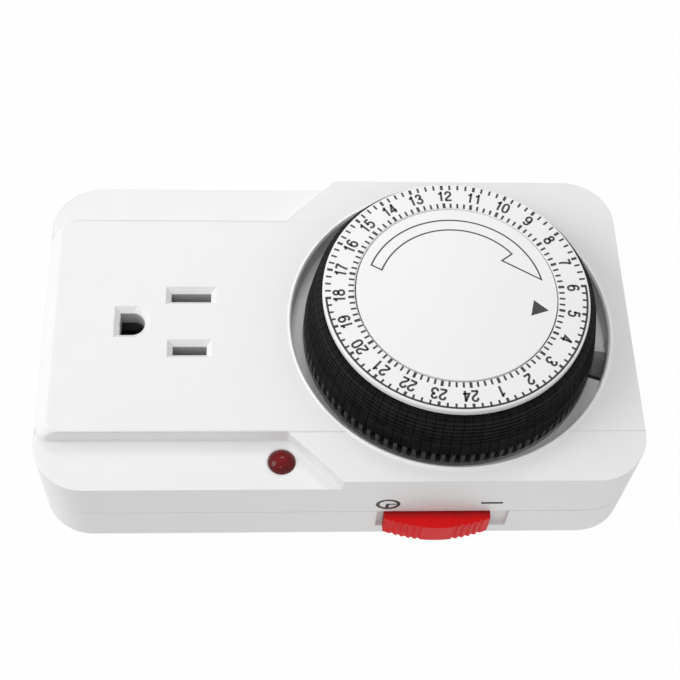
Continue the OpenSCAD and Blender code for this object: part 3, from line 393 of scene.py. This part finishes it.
def sharp_edges(work, angle, shortest):
    """Edges with room for a rounding: bent, long enough and beside faces that aren't slivers."""
    limit = math.radians(angle)
    return [e for e in work.edges
            if len(e.link_faces) == 2 and e.calc_length() > shortest * MM
            and e.calc_face_angle(0) > limit
            and min(f.calc_area() for f in e.link_faces) > (shortest * MM) ** 2]


def softened(node, name, material, body, width, segments=2, angle=35, shortest=0.25,
             wider=()):
    """Copy of a construction node whose real edges are rounded as a mould rounds them.

    wider holds pairs of a test for edges and their own radius in mm, rounded first."""
    work = bmesh.new()
    work.from_mesh(NODES[node].data)
    bmesh.ops.remove_doubles(work, verts=work.verts, dist=2e-6)
    bmesh.ops.dissolve_limit(work, angle_limit=math.radians(0.6), verts=work.verts,
                             edges=work.edges)
    for test, radius in wider:
        chosen = [e for e in sharp_edges(work, angle, shortest) if test(e)]
        if chosen:
            bmesh.ops.bevel(work, geom=chosen, offset=radius * MM, segments=5, profile=0.5,
                            affect="EDGES", clamp_overlap=True, harden_normals=False)
    chosen = sharp_edges(work, angle, shortest)
    if chosen and width > 0:
        bmesh.ops.bevel(work, geom=chosen, offset=width * MM, segments=segments, profile=0.5,
                        affect="EDGES", clamp_overlap=True, harden_normals=False)
    mesh = bpy.data.meshes.new(name)
    work.to_mesh(mesh)
    work.free()
    smooth(mesh)
    piece = new_piece(name, mesh, material, body)
    level = piece.modifiers.new("even shading", "WEIGHTED_NORMAL")
    level.keep_sharp = True
    level.weight = 80
    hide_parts(node)
    return piece


def flat_mesh(name, outlines, to_world):
    """Mesh of flat printed shapes; outlines are lists of (u, v) points in millimetres."""
    vertices, faces = [], []
    for outline in outlines:
        start = len(vertices)
        vertices += [to_world(u, v) for u, v in outline]
        faces.append(list(range(start, start + len(outline))))
    mesh = bpy.data.meshes.new(name)
    mesh.from_pydata(vertices, [], faces)
    mesh.validate()
    return mesh


def turned_mesh(name, profile, centre, sides=144):
    """Ring of a closed (radius, height) profile in mm round the dial's axis."""
    vertices, faces = [], []
    count = len(profile)
    for k in range(sides):
        turn = 2 * math.pi * k / sides
        vertices += [(r * math.sin(turn) * MM, -h * MM, (centre + r * math.cos(turn)) * MM)
                     for r, h in profile]
        after = (k + 1) % sides
        faces += [(k * count + i, after * count + i, after * count + (i + 1) % count,
                   k * count + (i + 1) % count) for i in range(count)]
    mesh = bpy.data.meshes.new(name)
    mesh.from_pydata(vertices, [], faces)
    work = bmesh.new()
    work.from_mesh(mesh)
    bmesh.ops.recalc_face_normals(work, faces=work.faces)
    work.to_mesh(mesh)
    work.free()
    smooth(mesh, 60)
    return mesh


def curve_points(points, per=7, closed=False):
    """Smooth line through points."""
    n = len(points)
    out = []
    last = n if closed else n - 1
    for i in range(last):
        a, b, c, d = (points[(i + k) % n] if closed else points[min(max(i + k, 0), n - 1)]
                      for k in (-1, 0, 1, 2))
        for s in range(per):
            t = s / per
            out.append(tuple(
                0.5 * (2 * b[k] + (c[k] - a[k]) * t + (2 * a[k] - 5 * b[k] + 4 * c[k] - d[k]) * t * t
                       + (3 * b[k] - a[k] - 3 * c[k] + d[k]) * t ** 3) for k in (0, 1)))
    if not closed:
        out.append(points[-1])
    return out


def ribbon(points, width, closed=False):
    """Quads of a line of constant width, with mitred turns."""
    n = len(points)
    left, right = [], []
    for i, p in enumerate(points):
        before = points[(i - 1) % n] if closed or i > 0 else p
        after = points[(i + 1) % n] if closed or i < n - 1 else p
        d1 = Vector((p[0] - before[0], p[1] - before[1]))
        d2 = Vector((after[0] - p[0], after[1] - p[1]))
        d1 = d1.normalized() if d1.length > 1e-9 else d2.normalized()
        d2 = d2.normalized() if d2.length > 1e-9 else d1
        along = (d1 + d2).normalized() if (d1 + d2).length > 1e-6 else d1
        normal = Vector((-along.y, along.x))
        reach = width / 2 / max(0.45, normal.dot(Vector((-d1.y, d1.x))))
        left.append((p[0] + normal.x * reach, p[1] + normal.y * reach))
        right.append((p[0] - normal.x * reach, p[1] - normal.y * reach))
    last = n if closed else n - 1
    return [[left[i], left[(i + 1) % n], right[(i + 1) % n], right[i]] for i in range(last)]


def arc(radius, start, end, step=2.5, centre=(0.0, 0.0)):
    count = max(2, int(abs(end - start) / step) + 1)
    return [(centre[0] + radius * math.cos(math.radians(start + (end - start) * i / (count - 1))),
             centre[1] + radius * math.sin(math.radians(start + (end - start) * i / (count - 1))))
            for i in range(count)]


# Strokes of the figures 0 to 9 in a box 0.58 wide and 1 high. A stroke is
# ("curve" or "line" or "loop", points); lines keep their corners.
FIGURES = {
    "0": [("loop", [(0.29, 0.935), (0.45, 0.86), (0.51, 0.66), (0.515, 0.5), (0.51, 0.34),
                    (0.45, 0.14), (0.29, 0.065), (0.13, 0.14), (0.07, 0.34), (0.065, 0.5),
                    (0.07, 0.66), (0.13, 0.86)])],
    "1": [("line", [(0.36, 0.0), (0.36, 1.0)]),
          ("curve", [(0.36, 0.93), (0.32, 0.83), (0.24, 0.765), (0.12, 0.745)])],
    "2": [("curve", [(0.075, 0.66), (0.09, 0.8), (0.16, 0.9), (0.29, 0.94), (0.42, 0.9),
                     (0.5, 0.78), (0.48, 0.63), (0.36, 0.48), (0.2, 0.34), (0.1, 0.2),
                     (0.065, 0.06)]),
          ("line", [(0.02, 0.06), (0.56, 0.06)])],
    "3": [("curve", [(0.08, 0.74), (0.13, 0.88), (0.28, 0.94), (0.43, 0.88), (0.47, 0.74),
                     (0.41, 0.6), (0.24, 0.535)]),
          ("curve", [(0.24, 0.535), (0.43, 0.48), (0.52, 0.31), (0.46, 0.13), (0.28, 0.06),
                     (0.12, 0.12), (0.055, 0.29)])],
    "4": [("line", [(0.4, 0.0), (0.4, 0.98)]),
          ("line", [(0.4, 0.93), (0.07, 0.27), (0.57, 0.27)])],
    "5": [("line", [(0.5, 0.93), (0.16, 0.93), (0.105, 0.48)]),
          ("curve", [(0.105, 0.48), (0.2, 0.58), (0.33, 0.6), (0.47, 0.52), (0.52, 0.35),
                     (0.46, 0.14), (0.28, 0.06), (0.12, 0.11), (0.055, 0.25)])],
    "6": [("loop", [(0.29, 0.59), (0.44, 0.53), (0.515, 0.33), (0.45, 0.13), (0.29, 0.06),
                    (0.14, 0.13), (0.07, 0.33), (0.14, 0.52)]),
          ("curve", [(0.49, 0.77), (0.43, 0.89), (0.3, 0.94), (0.15, 0.85), (0.075, 0.62),
                     (0.07, 0.36)])],
    "7": [("line", [(0.04, 0.93), (0.53, 0.93)]),
          ("curve", [(0.52, 0.93), (0.4, 0.73), (0.28, 0.45), (0.22, 0.2), (0.2, 0.0)])],
    "8": [("loop", [(0.29, 0.94), (0.43, 0.87), (0.47, 0.74), (0.42, 0.6), (0.29, 0.54),
                    (0.16, 0.6), (0.11, 0.74), (0.15, 0.87)]),
          ("loop", [(0.29, 0.54), (0.45, 0.47), (0.52, 0.3), (0.46, 0.13), (0.29, 0.06),
                    (0.12, 0.13), (0.06, 0.3), (0.13, 0.47)])],
}
FIGURES["9"] = [(kind, [(0.58 - x, 1 - y) for x, y in points]) for kind, points in FIGURES["6"]]
FIGURE_W = 0.58


def figure_outlines(text, height, weight, gap):
    """Outlines of a number, centred on u = 0, standing on v = 0."""
    outlines = []
    pitch = (FIGURE_W + gap) * height
    start = -(pitch * len(text) - gap * height) / 2
    for place, sign in enumerate(text):
        for kind, points in FIGURES[sign]:
            path = points if kind == "line" else curve_points(points, closed=kind == "loop")
            path = [(start + place * pitch + x * height, y * height) for x, y in path]
            outlines += ribbon(path, weight * height, closed=kind == "loop")
    return outlines


# ------------------------------------------------------------------ settings

class TimerHousing(bpy.types.PropertyGroup):
    white: FloatVectorProperty(name="Housing white", description="Colour of the moulded covers",
                               subtype="COLOR", size=3, min=0, max=1, default=(0.86, 0.86, 0.855))
    rough: FloatProperty(name="Roughness", description="Gloss of the covers", default=0.42,
                         min=0.05, max=1, subtype="FACTOR")
    edge: FloatProperty(name="Edge radius", description="Rounding of the moulded edges in mm",
                        default=0.3, min=0, max=0.6)
    deck: FloatProperty(name="Deck", description="Wall face to the outlet deck in mm",
                        default=25.6, min=25, max=28)
    well: FloatProperty(name="Well radius", description="Radius of the dial well in mm",
                        default=32.9, min=30, max=36)
    lip: FloatProperty(name="Well rim", description="Height of the well's rim over the deck in mm",
                       default=0.14, min=0, max=0.4)
    parting: FloatProperty(name="Parting line", description="Wall face to the parting line in mm",
                           default=11.1, min=11, max=12)
    joint: FloatProperty(name="Parting edge", description="Rounding at the parting line in mm",
                         default=0.18, min=0, max=0.5)
    mould: FloatProperty(name="Mould radius", description="Soft rounding of the step in mm",
                         default=0.75, min=0.01, max=1.2)
    brass: FloatVectorProperty(name="Brass", description="Colour of blades and contacts",
                               subtype="COLOR", size=3, min=0, max=1, default=(0.72, 0.52, 0.24))
    steel: FloatVectorProperty(name="Steel", description="Colour of screws and sheet steel",
                               subtype="COLOR", size=3, min=0, max=1, default=(0.6, 0.6, 0.61))


RING = extent("number_ring")


class TimerDial(bpy.types.PropertyGroup):
    white: FloatVectorProperty(name="Dial white", description="Colour of the printed ring and disc",
                               subtype="COLOR", size=3, min=0, max=1, default=(0.875, 0.875, 0.868))
    black: FloatVectorProperty(name="Tripper black", description="Colour of trippers and comb",
                               subtype="COLOR", size=3, min=0, max=1, default=(0.006, 0.006, 0.0064))
    ink: FloatVectorProperty(name="Ink", description="Colour of the print", subtype="COLOR",
                             size=3, min=0, max=1, default=(0.022, 0.022, 0.024))
    centre: FloatProperty(name="Dial centre", description="Height of the dial centre in mm",
                          default=(RING[0].z + RING[1].z) / 2 / MM, min=50, max=58)
    skirt: FloatProperty(name="Skirt", description="Wall face to the trippers' skirts in mm",
                         default=24.75, min=23, max=26)
    top: FloatProperty(name="Dial top", description="Wall face to the top of the dial in mm",
                       default=-RING[0].y / MM, min=36, max=38)
    first_hour: FloatProperty(name="Turn of 6", description="Place of 6 o'clock in degrees",
                              default=3.3, min=-180, max=180)
    figure: FloatProperty(name="Figure height", description="Height of the numbers in mm",
                          default=2.45, min=1.5, max=3)
    weight: FloatProperty(name="Figure weight", description="Stroke over height of the numbers",
                          default=0.186, min=0.05, max=0.3)


class TimerColour(bpy.types.PropertyGroup):
    slider: FloatVectorProperty(name="Slider red", description="Colour of the override slider",
                                subtype="COLOR", size=3, min=0, max=1, default=(0.8, 0.008, 0.01))
    lens: FloatVectorProperty(name="Lens red", description="Colour of the indicator lens",
                              subtype="COLOR", size=3, min=0, max=1, default=(0.2, 0.002, 0.006))
    symbol_clock: FloatProperty(name="Clock symbol", description="Place of the clock symbol in mm",
                                default=39.9, min=30, max=60)
    symbol_bar: FloatProperty(name="Bar symbol", description="Place of the bar symbol in mm",
                              default=60.8, min=50, max=70)


class TimerStage(bpy.types.PropertyGroup):
    lens: FloatProperty(name="Focal length", description="Camera focal length in mm",
                        default=73.04, min=20, max=200, unit="CAMERA")
    key: FloatProperty(name="Key", description="Power of the large lamp over the face",
                       default=1.5, min=0, max=50, unit="POWER")
    top: FloatProperty(name="Top", description="Power of the lamp over the far side",
                       default=0.5, min=0, max=10, unit="POWER")
    front: FloatProperty(name="Front", description="Power of the small lamp beside the camera",
                         default=0.22, min=0, max=10, unit="POWER")
    rear: FloatProperty(name="Rear", description="Power of the lamp behind the back",
                        default=1.0, min=0, max=50, unit="POWER")
    world: FloatProperty(name="Surround", description="Strength of the white surround",
                         default=0.58, min=0, max=2)
    floor_y: FloatProperty(name="Floor", description="Distance of the floor behind the back in mm",
                           default=20.0, min=0, max=100)


# ------------------------------------------------------------------ operators

def settings():
    scene = bpy.context.scene
    return scene.timer_housing, scene.timer_dial, scene.timer_colour, scene.timer_stage


class TIMER_OT_finishes(bpy.types.Operator):
    """Make every finish"""
    bl_idname = "timer.finishes"
    bl_label = "Finishes"

    def execute(self, context):
        housing, dial, colour, _ = settings()
        housing_plastic("housing white", housing, dial.centre)
        moulded("dial white", dial.white, 0.36, 0.012)
        tripper_plastic("tripper black", dial.black, dial.centre, 60.0, dial.skirt)
        tripper_plastic("comb black", dial.black, dial.centre, 28.9, 0.0)
        slider_plastic("slider red", colour.slider, 0.5, extent("front_cover")[1].x / MM)
        low, high = extent("indicator_lens")
        lens_plastic("lens red", colour.lens, (low + high) / 2, (high.x - low.x) / 2)
        ink("dial ink", dial.ink)
        ink("symbol ink", tuple(c * 0.5 for c in dial.ink))
        moulded("lever grey", (0.15, 0.15, 0.155), 0.3, 0.02, 0.25)
        moulded("natural plastic", (0.78, 0.74, 0.62), 0.45)
        moulded("magnet", (0.1, 0.095, 0.09), 0.6)
        metal("brass", housing.brass, 0.3)
        metal("tinned brass", (0.3, 0.29, 0.275), 0.42)
        metal("steel", housing.steel, 0.32)
        metal("spring steel", (0.42, 0.42, 0.43), 0.36)
        metal("motor steel", (0.56, 0.57, 0.56), 0.4, (0.5, 0.5, 5.0))
        metal("silver", (0.8, 0.8, 0.77), 0.3)
        metal("leaf copper", (0.7, 0.34, 0.2), 0.32)
        wound_wire("copper wire", (0.6, 0.24, 0.1))
        clear_glass("lamp glass", (0.95, 0.78, 0.6))
        banded("resistor", (0.6, 0.44, 0.28))
        return {"FINISHED"}


class TIMER_OT_housing(bpy.types.Operator):
    """Soften the covers' edges and dress them"""
    bl_idname = "timer.housing"
    bl_label = "Housing"

    def execute(self, context):
        housing, dial, _, _ = settings()
        white = finish("housing white")

        def on_parting(edge):
            return all(abs(v.co.y + housing.parting * MM) < 0.02 * MM for v in edge.verts)

        softened("front_cover", "front_cover_soft", white, "housing", housing.edge,
                 wider=((on_parting, housing.joint),))
        softened("back_cover", "back_cover_soft", white, "housing",
                 housing.edge * 0.8, wider=((on_parting, housing.joint),))
        # rim of the well, from its foot inside over its crown to its foot outside
        r, top = housing.well, housing.deck + housing.lip
        rim = [(r + 0.22, top - 0.5), (r + 0.22, top - 0.12), (r + 0.26, top - 0.04),
               (r + 0.36, top), (r + 0.52, top), (r + 0.68, top - 0.05), (r + 0.76, top - 0.14),
               (r + 0.78, top - 0.6)]
        new_piece("well_rim", turned_mesh("well_rim", rim, dial.centre), white, "housing")
        return {"FINISHED"}


class TIMER_OT_outlet(bpy.types.Operator):
    """Dress the plug, the contacts and the indicator"""
    bl_idname = "timer.outlet"
    bl_label = "Outlet and plug"

    def execute(self, context):
        for node in PLUG:
            dress(node, finish("brass"))
        for node in CONTACTS:
            dress(node, finish("tinned brass"))
        for node in STEEL:
            dress(node, finish("steel"))
        dress("moving_leaf", finish("leaf copper"))
        dress("moving_contact", finish("silver"))
        dress("neon_lamp", finish("lamp glass"))
        dress("neon_resistor", finish("resistor"))
        dress("indicator_lens", finish("lens red"))
        return {"FINISHED"}


class TIMER_OT_movement(bpy.types.Operator):
    """Dress the motor, the gears and the springs"""
    bl_idname = "timer.movement"
    bl_label = "Movement"

    def execute(self, context):
        for node in MOTOR:
            dress(node, finish("motor steel"))
        for node in GEARS:
            dress(node, finish("natural plastic"))
        for node in SPRINGS:
            dress(node, finish("spring steel"))
        dress("coil_winding", finish("copper wire"))
        dress("motor_rotor", finish("magnet"))
        softened("follower_lever", "follower_lever_soft", finish("lever grey"), "lever",
                 0.5, 4)
        return {"FINISHED"}


class TIMER_OT_trippers(bpy.types.Operator):
    """Dress the trippers and their comb"""
    bl_idname = "timer.trippers"
    bl_label = "Trippers"

    def execute(self, context):
        for node in HOUR_NODES:
            dress(node, finish("tripper black"))
        dress("tripper_cage", finish("comb black"))
        return {"FINISHED"}


def dial_point(x, y):
    """Point of the dial's top from its centre; x runs up the housing, y to its left."""
    dial = bpy.context.scene.timer_dial
    return (-y * MM, -(dial.top + PRINT_LIFT) * MM, (dial.centre + x) * MM)


def polar(radius, angle):
    return (radius * math.cos(math.radians(angle)), radius * math.sin(math.radians(angle)))


def tick(angle, inner, outer, width):
    u = polar(1.0, angle)
    side = (-u[1] * width / 2, u[0] * width / 2)
    return [(u[0] * r + s * side[0], u[1] * r + s * side[1])
            for r, s in ((inner, -1), (outer, -1), (outer, 1), (inner, 1))]


class TIMER_OT_dial(bpy.types.Operator):
    """Number ring and centre disc with their print"""
    bl_idname = "timer.dial"
    bl_label = "Dial"

    def execute(self, context):
        _, dial, _, _ = settings()
        white, print_ink = finish("dial white"), finish("dial ink")
        softened("number_ring", "number_ring_soft", white, "dial", 0.42, 3)
        softened("centre_disc", "centre_disc_soft", white, "housing", 0.12)
        mesh = flat_mesh("dial_numbers", self.scale(dial) + self.numbers(dial), dial_point)
        new_piece("dial_numbers", mesh, print_ink, "dial")
        mesh = flat_mesh("disc_print", self.arrow() + [self.pointer()], dial_point)
        new_piece("disc_print", mesh, print_ink, "housing")
        return {"FINISHED"}

    def scale(self, dial):
        """Marks of the quarter hours in two rows, and the arc round one half day."""
        hour_mark, quarter_mark = 0.6, 0.42
        inner_row, inner_hour, inner_quarter = 20.62, 21.85, 21.75
        outer_row, outer_open, outer_closed, arc_r = 25.25, 26.4, 26.1, 26.22
        shapes = []
        for k in range(96):
            angle = dial.first_hour + k * 3.75
            on_hour = k % 4 == 0
            on_arc = k >= 48 or k == 0
            width = hour_mark if on_hour else quarter_mark
            shapes.append(tick(angle, inner_row, inner_hour if on_hour else inner_quarter, width))
            shapes.append(tick(angle, outer_row, outer_closed if on_arc else outer_open, width))
        return shapes + ribbon(arc(arc_r, dial.first_hour + 179.4, dial.first_hour + 360.6, 1.5),
                               quarter_mark)

    def numbers(self, dial):
        """The hours 1 to 24 with their feet towards the centre."""
        foot_r, lean, gap = 22.42, 0.8, 0.08
        shapes = []
        for hour in range(1, 25):
            angle = dial.first_hour + (hour - 6) * 15 - lean
            out, side = polar(1.0, angle), polar(1.0, angle - 90)
            for outline in figure_outlines(str(hour), dial.figure, dial.weight, gap):
                shapes.append([((foot_r + v) * out[0] + u * side[0],
                                (foot_r + v) * out[1] + u * side[1]) for u, v in outline])
        return shapes

    def arrow(self):
        """Outline of the turning arrow: two arcs, and a head with one barb."""
        middle, line = (-0.3, -0.5), 0.31
        outer = arc(18.0, 157.5, 12.0, 2.0, middle)
        inner = arc(15.6, 38.5, 158.5, 2.0, middle)
        tip, barb = polar(17.6, 9.8), polar(12.31, 37.9)
        return ribbon(outer + [tip, barb] + inner, line, closed=True)

    def pointer(self):
        return [polar(18.6, -13.5), polar(15.45, -7.0), polar(15.47, -20.9)]


class TIMER_OT_slider(bpy.types.Operator):
    """Override slider and the symbols beside it"""
    bl_idname = "timer.slider"
    bl_label = "Slider"

    def execute(self, context):
        _, _, colour, _ = settings()
        softened("override_slider", "override_slider_soft", finish("slider red"), "slider",
                 0.18, 2, 40, 0.15)
        face = extent("front_cover")[1].x + PRINT_LIFT * MM

        def on_side(u, v):
            return (face, -v * MM, u * MM)

        shapes = self.clock(colour.symbol_clock, 14.7) + self.bar(colour.symbol_bar, 15.1)
        mesh = flat_mesh("side_symbols", shapes, on_side)
        new_piece("side_symbols", mesh, finish("symbol ink"), "housing")
        return {"FINISHED"}

    def clock(self, u, v):
        """Round clock with two hands, which stands for timed use."""
        across, up, steps = 2.1, 1.95, 48
        turns = [i * 2 * math.pi / steps for i in range(steps)]
        shapes = ribbon([(u + across * math.cos(t), v + up * math.sin(t)) for t in turns], 0.72,
                        closed=True)
        shapes += ribbon([(u - 0.1, v), (u + 1.6, v + 0.05)], 0.45)
        return shapes + ribbon([(u - 0.05, v + 0.2), (u - 0.2, v - 1.6)], 0.65)

    def bar(self, u, v):
        """Bar, which stands for always on."""
        half = 2.2
        return ribbon([(u - half, v), (u + half, v)], 0.85)


class TIMER_OT_stage(bpy.types.Operator):
    """Floor, light and camera"""
    bl_idname = "timer.stage"
    bl_label = "Stage"

    def execute(self, context):
        _, _, _, stage = settings()
        scene = context.scene
        scene.view_settings.view_transform = "Standard"
        self.floor(scene, stage)
        self.world(scene, stage)
        self.lamps(scene, stage)
        self.camera(scene, stage)
        return {"FINISHED"}

    def floor(self, scene, stage):
        y = stage.floor_y * MM
        mesh = bpy.data.meshes.new("stage_floor")
        mesh.from_pydata([(-2, y, -2), (2, y, -2), (2, y, 2), (-2, y, 2)], [], [(0, 1, 2, 3)])
        floor = bpy.data.objects.new("stage_floor", mesh)
        scene.collection.objects.link(floor)
        f = Finish("floor")
        camera, gloss, clear, shadow = f.rays("Camera", "Glossy", "Transmission", "Shadow")
        behind = f.add("ShaderNodeNewGeometry", {}, {}, "Backfacing")
        matte = f.add("ShaderNodeBsdfDiffuse", {}, {"Color": (0.62, 0.62, 0.62, 1)})
        white = f.add("ShaderNodeEmission", {}, {"Color": (1, 1, 1, 1), "Strength": 1.0})
        empty = f.add("ShaderNodeBsdfTransparent", {}, {})
        seen = (camera + gloss + clear).clip()
        lit = f.add("ShaderNodeMixShader", {}, {0: seen * 0.98, 1: matte, 2: white})
        hidden = (behind + shadow).clip()
        f.show(f.add("ShaderNodeMixShader", {}, {0: hidden, 1: lit, 2: empty}))
        mesh.materials.append(f.material)

    def world(self, scene, stage):
        scene.world = bpy.data.worlds.new("surround")
        w = Shading(scene.world, "ShaderNodeOutputWorld")
        camera, gloss, clear = w.rays("Camera", "Glossy", "Transmission")
        lamp, white = (w.add("ShaderNodeBackground", {}, {"Color": (1, 1, 1, 1), "Strength": power})
                       for power in (stage.world, 1.0))
        seen = (camera + gloss + clear).clip()
        w.show(w.add("ShaderNodeMixShader", {}, {0: seen, 1: lamp, 2: white}))

    def lamps(self, scene, stage):
        aim = Vector((0, -0.02, 0.03))
        for name, place, size, power in (
                ("key", (0.0, -0.36, -0.47), 0.35, stage.key),
                ("top", (-0.342, -0.49, 0.05), 0.2, stage.top),
                ("front", (0.33, -0.54, -0.08), 0.09, stage.front),
                ("rear", (0.3, 0.7, 0.25), 0.6, stage.rear)):
            data = bpy.data.lights.new(name, "AREA")
            data.shape = "DISK"
            data.size = size
            data.energy = power
            lamp = bpy.data.objects.new(name, data)
            lamp.location = place
            lamp.rotation_euler = (aim - Vector(place)).to_track_quat("-Z", "Y").to_euler()
            scene.collection.objects.link(lamp)

    def camera(self, scene, stage):
        data = bpy.data.cameras.new("camera")
        data.lens = stage.lens
        data.sensor_width = 36.0
        data.clip_start, data.clip_end = 0.01, 10.0
        camera = bpy.data.objects.new("camera", data)
        place = Vector((0.1474, -0.2683, 0.0154))
        right = Vector((0.0270, -0.0467, 0.9985)).normalized()
        back = Vector((0.5069, -0.8603, -0.0539)).normalized()
        up = back.cross(right).normalized()
        right = up.cross(back)
        turn = Matrix((right, up, back)).transposed().to_4x4()
        camera.matrix_world = Matrix.Translation(place) @ turn
        scene.collection.objects.link(camera)
        scene.camera = camera


class TIMER_PT_panel(bpy.types.Panel):
    """Timer switch"""
    bl_idname = "TIMER_PT_panel"
    bl_label = "Timer switch"
    bl_space_type = "VIEW_3D"
    bl_region_type = "UI"
    bl_category = "Timer"

    def draw(self, context):
        for group in settings():
            box = self.layout.box()
            for name in group.__annotations__:
                box.prop(group, name)
        for operator in OPERATORS:
            self.layout.operator(operator.bl_idname)


OPERATORS = (TIMER_OT_finishes, TIMER_OT_housing, TIMER_OT_outlet, TIMER_OT_movement,
             TIMER_OT_trippers, TIMER_OT_dial, TIMER_OT_slider, TIMER_OT_stage)
GROUPS = {"timer_housing": TimerHousing, "timer_dial": TimerDial,
          "timer_colour": TimerColour, "timer_stage": TimerStage}


def register():
    for kind in (*GROUPS.values(), *OPERATORS, TIMER_PT_panel):
        bpy.utils.register_class(kind)
    for name, group in GROUPS.items():
        setattr(bpy.types.Scene, name, PointerProperty(type=group))


def unregister():
    for name in GROUPS:
        delattr(bpy.types.Scene, name)
    for kind in reversed((*GROUPS.values(), *OPERATORS, TIMER_PT_panel)):
        bpy.utils.unregister_class(kind)


def main():
    register()
    for operator in OPERATORS:
        getattr(bpy.ops.timer, operator.bl_idname.split(".")[1])()


if __name__ == "__main__":
    main()
